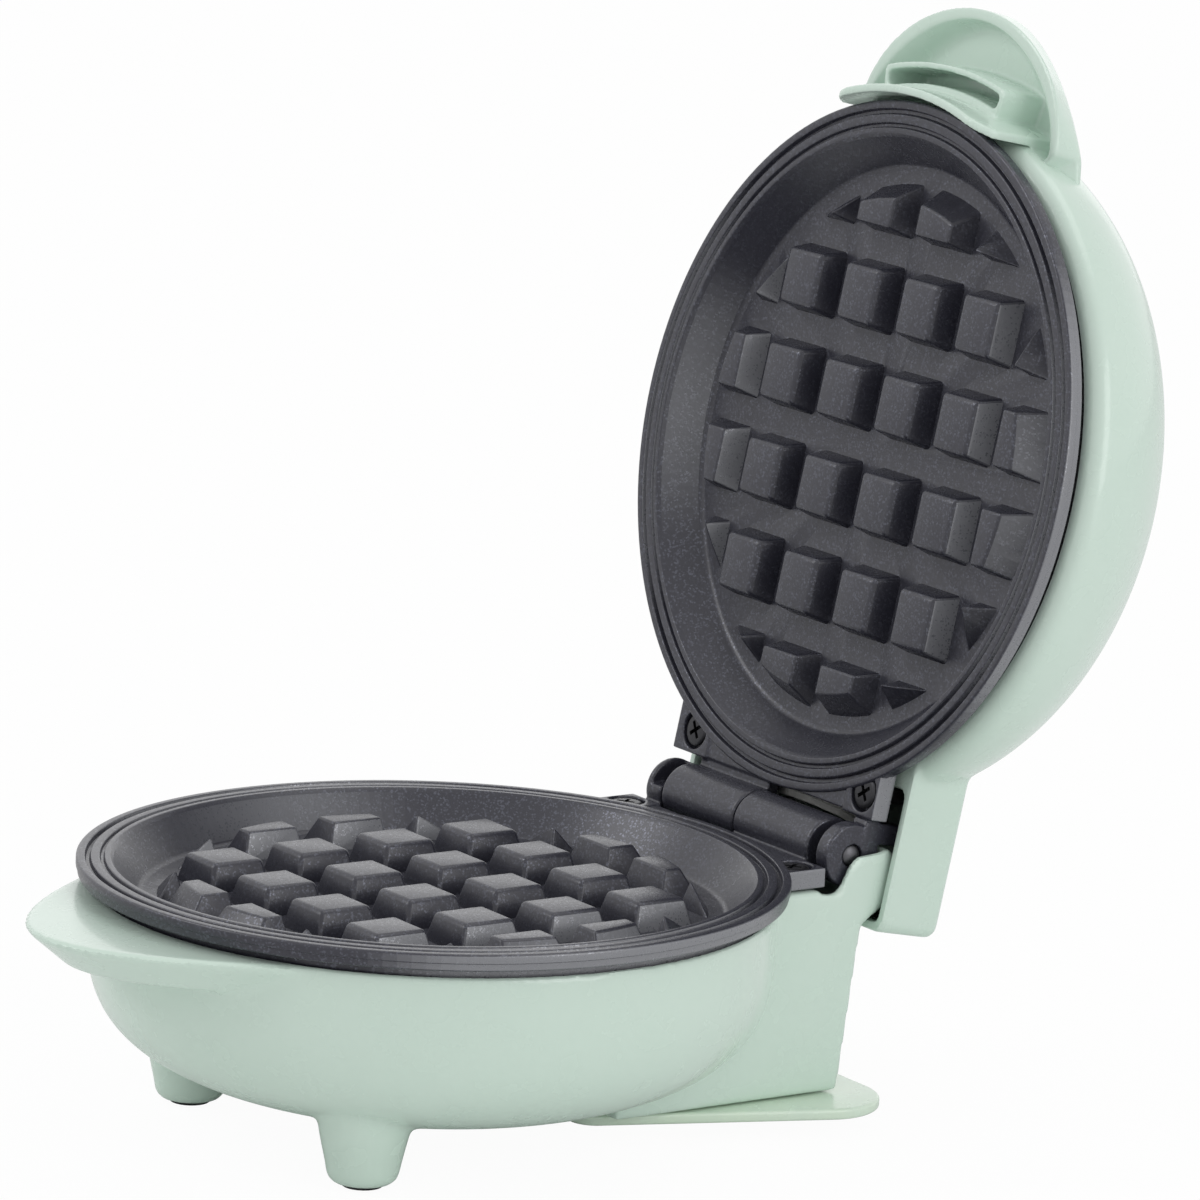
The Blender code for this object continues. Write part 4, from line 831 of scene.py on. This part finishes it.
def makeStuds():
    # every stud is a four-sided cone; the outer ones are trimmed by one wide cone round the field
    deselectAll()
    depth = dish["depth"] * mm
    high = depth - stud["recess"] * mm
    sunk = 0.8 * mm
    slope = (stud["base"] - stud["top"]) / 2 * mm / high
    lean = (stud["fieldBase"] - stud["fieldTop"]) * mm / high
    made = []
    for i in range(stud["row"]):
        for j in range(stud["row"]):
            x = (i - 2.5) * stud["pitch"] * mm
            y = (j - 2.5) * stud["pitch"] * mm
            inner = Vector((abs(x) - stud["base"] * mm / 2, abs(y) - stud["base"] * mm / 2)).length
            outer = Vector((abs(x) + stud["top"] * mm / 2, abs(y) + stud["top"] * mm / 2)).length
            if inner > (stud["fieldBase"] - 2.0) * mm:
                continue
            deselectAll()
            bpy.ops.mesh.primitive_cone_add(
                vertices=4,
                radius1=(stud["base"] * mm + 2 * sunk * slope) / math.sqrt(2),
                radius2=stud["top"] * mm / math.sqrt(2),
                depth=high + sunk,
                location=(x, y, (high - sunk) / 2 - depth),
                rotation=(0, 0, math.pi / 4),
            )
            bpy.ops.object.transform_apply(location=True, rotation=True, scale=True)
            piece = nameIt("stud")
            if outer > stud["fieldTop"] * mm:
                field = addTurned("field", [
                    (0, high + 1 * mm - depth),
                    (stud["fieldTop"] * mm - lean * mm, high + 1 * mm - depth),
                    (stud["fieldBase"] * mm + lean * 2 * mm, -depth - 2 * mm),
                    (0, -depth - 2 * mm),
                ], 128)
                combine(piece, [field], "INTERSECT")
            roundEdges(piece, stud["round"] * mm, 4, 25)
            made.append(piece)
    deselectAll()
    for piece in made:
        piece.select_set(True)
    bpy.context.view_layer.objects.active = made[0]
    bpy.ops.object.join()
    return nameIt("studs")


def makePlate(name, lid):
    plate = addTurned(name, dishProfile(), 160)
    studs = makeStuds()
    closeUp(studs)
    joinTo(plate, studs)
    # a small fillet round the foot of every stud
    startEdit(plate, "EDGE")
    level = -dish["depth"] * mm
    near = 49.6 * mm
    pickEdges(plate, lambda a, b: abs(a.z - level) < 0.01 * mm and abs(b.z - level) < 0.01 * mm
              and max(Vector(a.xy).length, Vector(b.xy).length) < near)
    mesh = bmesh.from_edit_mesh(plate.data)
    for edge in mesh.edges:
        if edge.select and (len(edge.link_faces) != 2 or edge.calc_face_angle() < 0.3):
            edge.select_set(False)
    bmesh.update_edit_mesh(plate.data)
    bpy.ops.mesh.bevel(offset=0.55 * mm, segments=3, affect="EDGES", clamp_overlap=True)
    endEdit()
    if lid:
        plate.data.transform(Matrix.Rotation(math.pi, 4, "Y"))
    plate.data.transform(Matrix.Translation((0, 0, upperRim if lid else lowerRim)))
    return plate


def makeKnuckles(name, lid):
    rim = upperRim if lid else lowerRim
    side = -1 if lid else 1

    def levels(first, second):
        return sorted((rim - side * first * mm, rim - side * second * mm))

    low, high = levels(0.5, knuckle["thick"] - 0.15)
    body = addBlock(name, (-22.4 * mm, 55.5 * mm, low), (22.4 * mm, 62.3 * mm, high))
    low, high = levels(0.15, knuckle["thick"])
    for sign in (-1, 1):
        far = 31.9 if lid and sign < 0 else 30.4
        xs = sorted((sign * 21.4 * mm, sign * far * mm))
        tab = addBlock("tab", (xs[0], 51 * mm, low), (xs[1], 62.6 * mm, high))
        joinTo(body, tab)
    # the rings and the cavity of the dish stay whole behind the tabs
    cutFrom(body, addRod("rim_room", 61.3 * mm, (0, 0, low - 9 * mm), (0, 0, high + 9 * mm), 160))
    own = ("lidBarrel", "lidRing") if lid else ("collar", "baseBarrel")
    other = ("collar", "baseBarrel") if lid else ("lidBarrel", "lidRing")
    low, high = levels(0.8, knuckle["thick"] - 0.45)
    for key in own:
        start, end = (v * mm for v in knuckle[key])
        radius = knuckle["ring" if key == "lidRing" else "barrel"] * mm
        armEnd = end - (0.8 if key == "lidBarrel" else 0.15) * mm
        arm = addBlock("arm", (start + 0.15 * mm, 60.6 * mm, low), (armEnd, hinge["y"], high))
        barrel = addRod("barrel", radius, (start, hinge["y"], 0), (end, hinge["y"], 0))
        roundEdges(barrel, 0.35 * mm, 2, 50)
        joinTo(body, arm, barrel)
    for key in other:
        start, end = (v * mm for v in knuckle[key])
        radius = (knuckle["ring" if key == "lidRing" else "barrel"] + 0.7) * mm
        room = addRod("room", radius, (start - 0.3 * mm, hinge["y"], 0), (end + 0.3 * mm, hinge["y"], 0))
        cutFrom(body, room)
    cutFrom(body, addRod("bore", knuckle["bore"] * mm, (-40 * mm, hinge["y"], 0), (40 * mm, hinge["y"], 0), 48))
    if lid:
        joinTo(body, addBlock("lug", (24.6 * mm, 63.2 * mm, 1.6 * mm), (28.7 * mm, 66.9 * mm, 9.6 * mm)))
    else:
        cutFrom(body, addBlock("notch", (-27.2 * mm, 62.9 * mm, 1.4 * mm), (-23.5 * mm, 72 * mm, 7 * mm)))
    for sign in (-1, 1):
        spot = Vector((sign * 26.3 * mm, 58.2 * mm, rim))
        cutFrom(body, addRod("sink", 3.55 * mm, spot + Vector((0, 0, side * 1 * mm)), spot - Vector((0, 0, side * 2.3 * mm))))
        cutFrom(body, addRod("hole", 1.8 * mm, spot, spot - Vector((0, 0, side * 8 * mm)), 32))
    softSkin(body, 0.28 * mm, 3)
    return body


for word, lid in (("lower", False), ("upper", True)):
    body = "lid" if lid else "base"
    finishPiece(makePlate(word + "_grid", lid), gridCoat, body, [word + "_plate"], 30)
    finishPiece(makeKnuckles(word + "_knuckles", lid), gridCoat, body, [word + "_plate"], 60)
print("grid plates ready")


# screws, all from one cross-head pattern

screw = {"head": 3.0, "shank": 1.5, "high": 1.8, "cross": (0.75, 3.5, 1.1)}


def makeScrew(name, point, facing, length):
    # drawn pointing down with its head's face at z = 0
    r, h = screw["head"] * mm, screw["high"] * mm
    profile = [
        (0, 0), (r - 0.7 * mm, -0.02 * mm), (r - 0.25 * mm, -0.12 * mm), (r - 0.05 * mm, -0.3 * mm),
        (r, -0.5 * mm), (r - 0.1 * mm, -0.75 * mm), (screw["shank"] * mm, -h),
        (screw["shank"] * mm, -length * mm + 1 * mm), (0.5 * screw["shank"] * mm, -length * mm), (0, -length * mm),
    ]
    piece = addTurned(name, profile, 48)
    wide, long, deep = (v * mm / 2 for v in screw["cross"])
    for turn in (35, 125):
        slot = addBlock("cross", (-long, -wide, -2 * deep), (long, wide, 2 * deep))
        slot.data.transform(Matrix.Rotation(math.radians(turn), 4, "Z"))
        cutFrom(piece, slot)
    if facing > 0:
        piece.data.transform(Matrix.Rotation(math.pi, 4, "Y"))
    piece.data.transform(Matrix.Translation(point))
    return piece


for side, word in ((-1, "left"), (1, "right")):
    at = Vector((side * 26.3 * mm, 58.2 * mm, 0))
    lower = makeScrew("lower_screw_" + word, at + Vector((0, 0, lowerRim - 0.3 * mm)), -1, 10)
    finishPiece(lower, screwBlack, "base", ["lower_plate_screw_" + word], 30)
    upper = makeScrew("upper_screw_" + word, at + Vector((0, 0, upperRim + 0.3 * mm)), 1, 10)
    finishPiece(upper, screwBlack, "lid", ["upper_plate_screw_" + word], 30)
print("plate screws ready")


# hinge pin with its domed end

pin = {"radius": 2.0, "start": -28.4, "end": 28.8}


def makePin():
    r = pin["radius"] * mm
    dome = 1.1 * mm
    long = (pin["end"] - pin["start"]) * mm
    profile = [(r * math.sin(t * math.pi / 16), dome * math.cos(t * math.pi / 16) - dome) for t in range(9)]
    profile += [(r, -long + 0.3 * mm), (r - 0.3 * mm, -long), (0, -long)]
    piece = addTurned("pin", profile, 48)
    piece.data.transform(Matrix.Rotation(math.pi / 2, 4, "Y"))
    piece.data.transform(Matrix.Translation((pin["end"] * mm, hinge["y"], 0)))
    return piece


finishPiece(makePin(), pinSteel, "base", ["hinge_pin"], 40)
print("pin ready")


# flat foot plate under the tower

footPlate = {"front": 17.0, "rear": 75.1, "rearHalf": 45.0, "frontHalf": 24.0, "corner": 11.0,
             "top": lowerRim - 41.7 * mm, "thick": 2.0}


def makeFootPlate():
    f = footPlate
    corners = [
        (-f["frontHalf"] * mm, f["front"] * mm, 5 * mm),
        (f["frontHalf"] * mm, f["front"] * mm, 5 * mm),
        (f["rearHalf"] * mm, f["rear"] * mm, f["corner"] * mm),
        (-f["rearHalf"] * mm, f["rear"] * mm, f["corner"] * mm),
    ]
    piece = addSlab("foot_plate", softCorners(corners, 24), f["top"] - f["thick"] * mm, f["top"])
    roundEdges(piece, 0.6 * mm, 4, 60)
    for side in (-1, 1):
        spot = Vector((side * 20 * mm, 47 * mm, 0))
        cutFrom(piece, addRod("hole", 1.8 * mm, spot + Vector((0, 0, f["top"] - 4 * mm)), spot + Vector((0, 0, f["top"] + 2 * mm)), 32))
    return piece


finishPiece(makeFootPlate(), plateGreen, "base", ["base_plate"])
print("foot plate ready")


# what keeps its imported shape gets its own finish

keptFinish = {
    "base_screw_left": screwBlack, "base_screw_right": screwBlack,
    "front_foot_pad_left": footRubber, "front_foot_pad_right": footRubber,
    "rear_foot_pad_left": footRubber, "rear_foot_pad_right": footRubber,
    "lower_heating_element": tubeSteel, "upper_heating_element": tubeSteel,
    "lower_heat_shield": pressedSheet, "upper_heat_shield": pressedSheet,
    "lower_shield_screw": zincScrew, "upper_shield_screw": zincScrew,
    "thermostat": ceramicCase, "thermal_fuse": tubeSteel, "terminal_block": creamPlastic,
    "cord_strain_relief": reliefRubber, "lead_sleeve": sleeveCloth,
    "indicator_lamp": ceramicCase,
}
redLens = plainSoft("red_lens", (0.50, 0.045, 0.035, 1), 0.2, 300.0, 0.00005)
keptFinish["indicator_lens"] = redLens
for name, material in keptFinish.items():
    node = frame["nodes"][name]
    node.data.materials.clear()
    node.data.materials.append(material)
print("kept nodes finished")


# studio: pale floor, soft lamps, white surround

studio = {"fill": 0.60, "key": 7.8, "side": 6.4, "top": 3.6, "back": 1.2}


def addLamp(name, spot, aim, size, power):
    data = bpy.data.lights.new(name, "AREA")
    data.shape = "RECTANGLE"
    data.size, data.size_y = size
    data.energy = power
    lamp = bpy.data.objects.new(name, data)
    bpy.context.scene.collection.objects.link(lamp)
    lamp.location = spot
    lamp.rotation_euler = (Vector(aim) - Vector(spot)).to_track_quat("-Z", "Y").to_euler()
    lamp.visible_camera = False
    return lamp


def addStudio():
    deselectAll()
    bpy.ops.mesh.primitive_plane_add(size=12, location=(0, 0, -0.0002))
    floor = nameIt("floor")
    material, wire, shader = startMaterial("floor_paper")
    at = place(wire)
    feed(
        wire,
        shader,
        colour=mixColours(wire, noise(wire, at, 9.0, 3.0), (0.88, 0.88, 0.88, 1), (0.90, 0.90, 0.90, 1)),
        roughness=0.8,
    )
    shader.inputs["Specular IOR Level"].default_value = 0.2
    tree = material.node_tree
    lit = Wire(tree, shader.outputs[0])
    glow = wire.node("ShaderNodeEmission", None, {"Color": (1, 1, 1, 1), "Strength": 1.0})
    path = wire.node("ShaderNodeLightPath", None, None, "Is Camera Ray")
    mixed = wire.node("ShaderNodeMixShader", None, {0: path * 0.96, 1: lit, 2: glow})
    tree.links.new(mixed.socket, tree.nodes["Material Output"].inputs["Surface"])
    floor.data.materials.append(material)

    world = bpy.data.worlds.new("studio")
    bpy.context.scene.world = world
    world.use_nodes = True
    tree = world.node_tree
    wire = Wire(tree)
    rays = wire.node("ShaderNodeLightPath", None, None, "Is Camera Ray")
    gloss = wire.node("ShaderNodeLightPath", None, None, "Is Glossy Ray")
    through = wire.node("ShaderNodeLightPath", None, None, "Is Transmission Ray")
    seen = (rays + gloss + through).maths("MINIMUM", 1.0)
    strength = studio["fill"] + seen * (1.0 - studio["fill"])
    background = tree.nodes["Background"]
    background.inputs["Color"].default_value = (1, 1, 1, 1)
    tree.links.new(strength.socket, background.inputs["Strength"])

    middle = (0, 0.02, 0.08)
    addLamp("key_lamp", (-0.9, -1.3, 1.3), middle, (0.9, 0.9), studio["key"])
    addLamp("side_lamp", (1.6, 0.3, 0.7), middle, (0.8, 1.2), studio["side"])
    addLamp("back_lamp", (-1.3, 0.95, 0.5), middle, (1.5, 0.9), studio["back"])
    addLamp("top_lamp", (0.1, 0.4, 1.8), middle, (1.2, 0.8), studio["top"])


addStudio()
scene = bpy.context.scene
scene.view_settings.view_transform = "Standard"
print("studio ready")
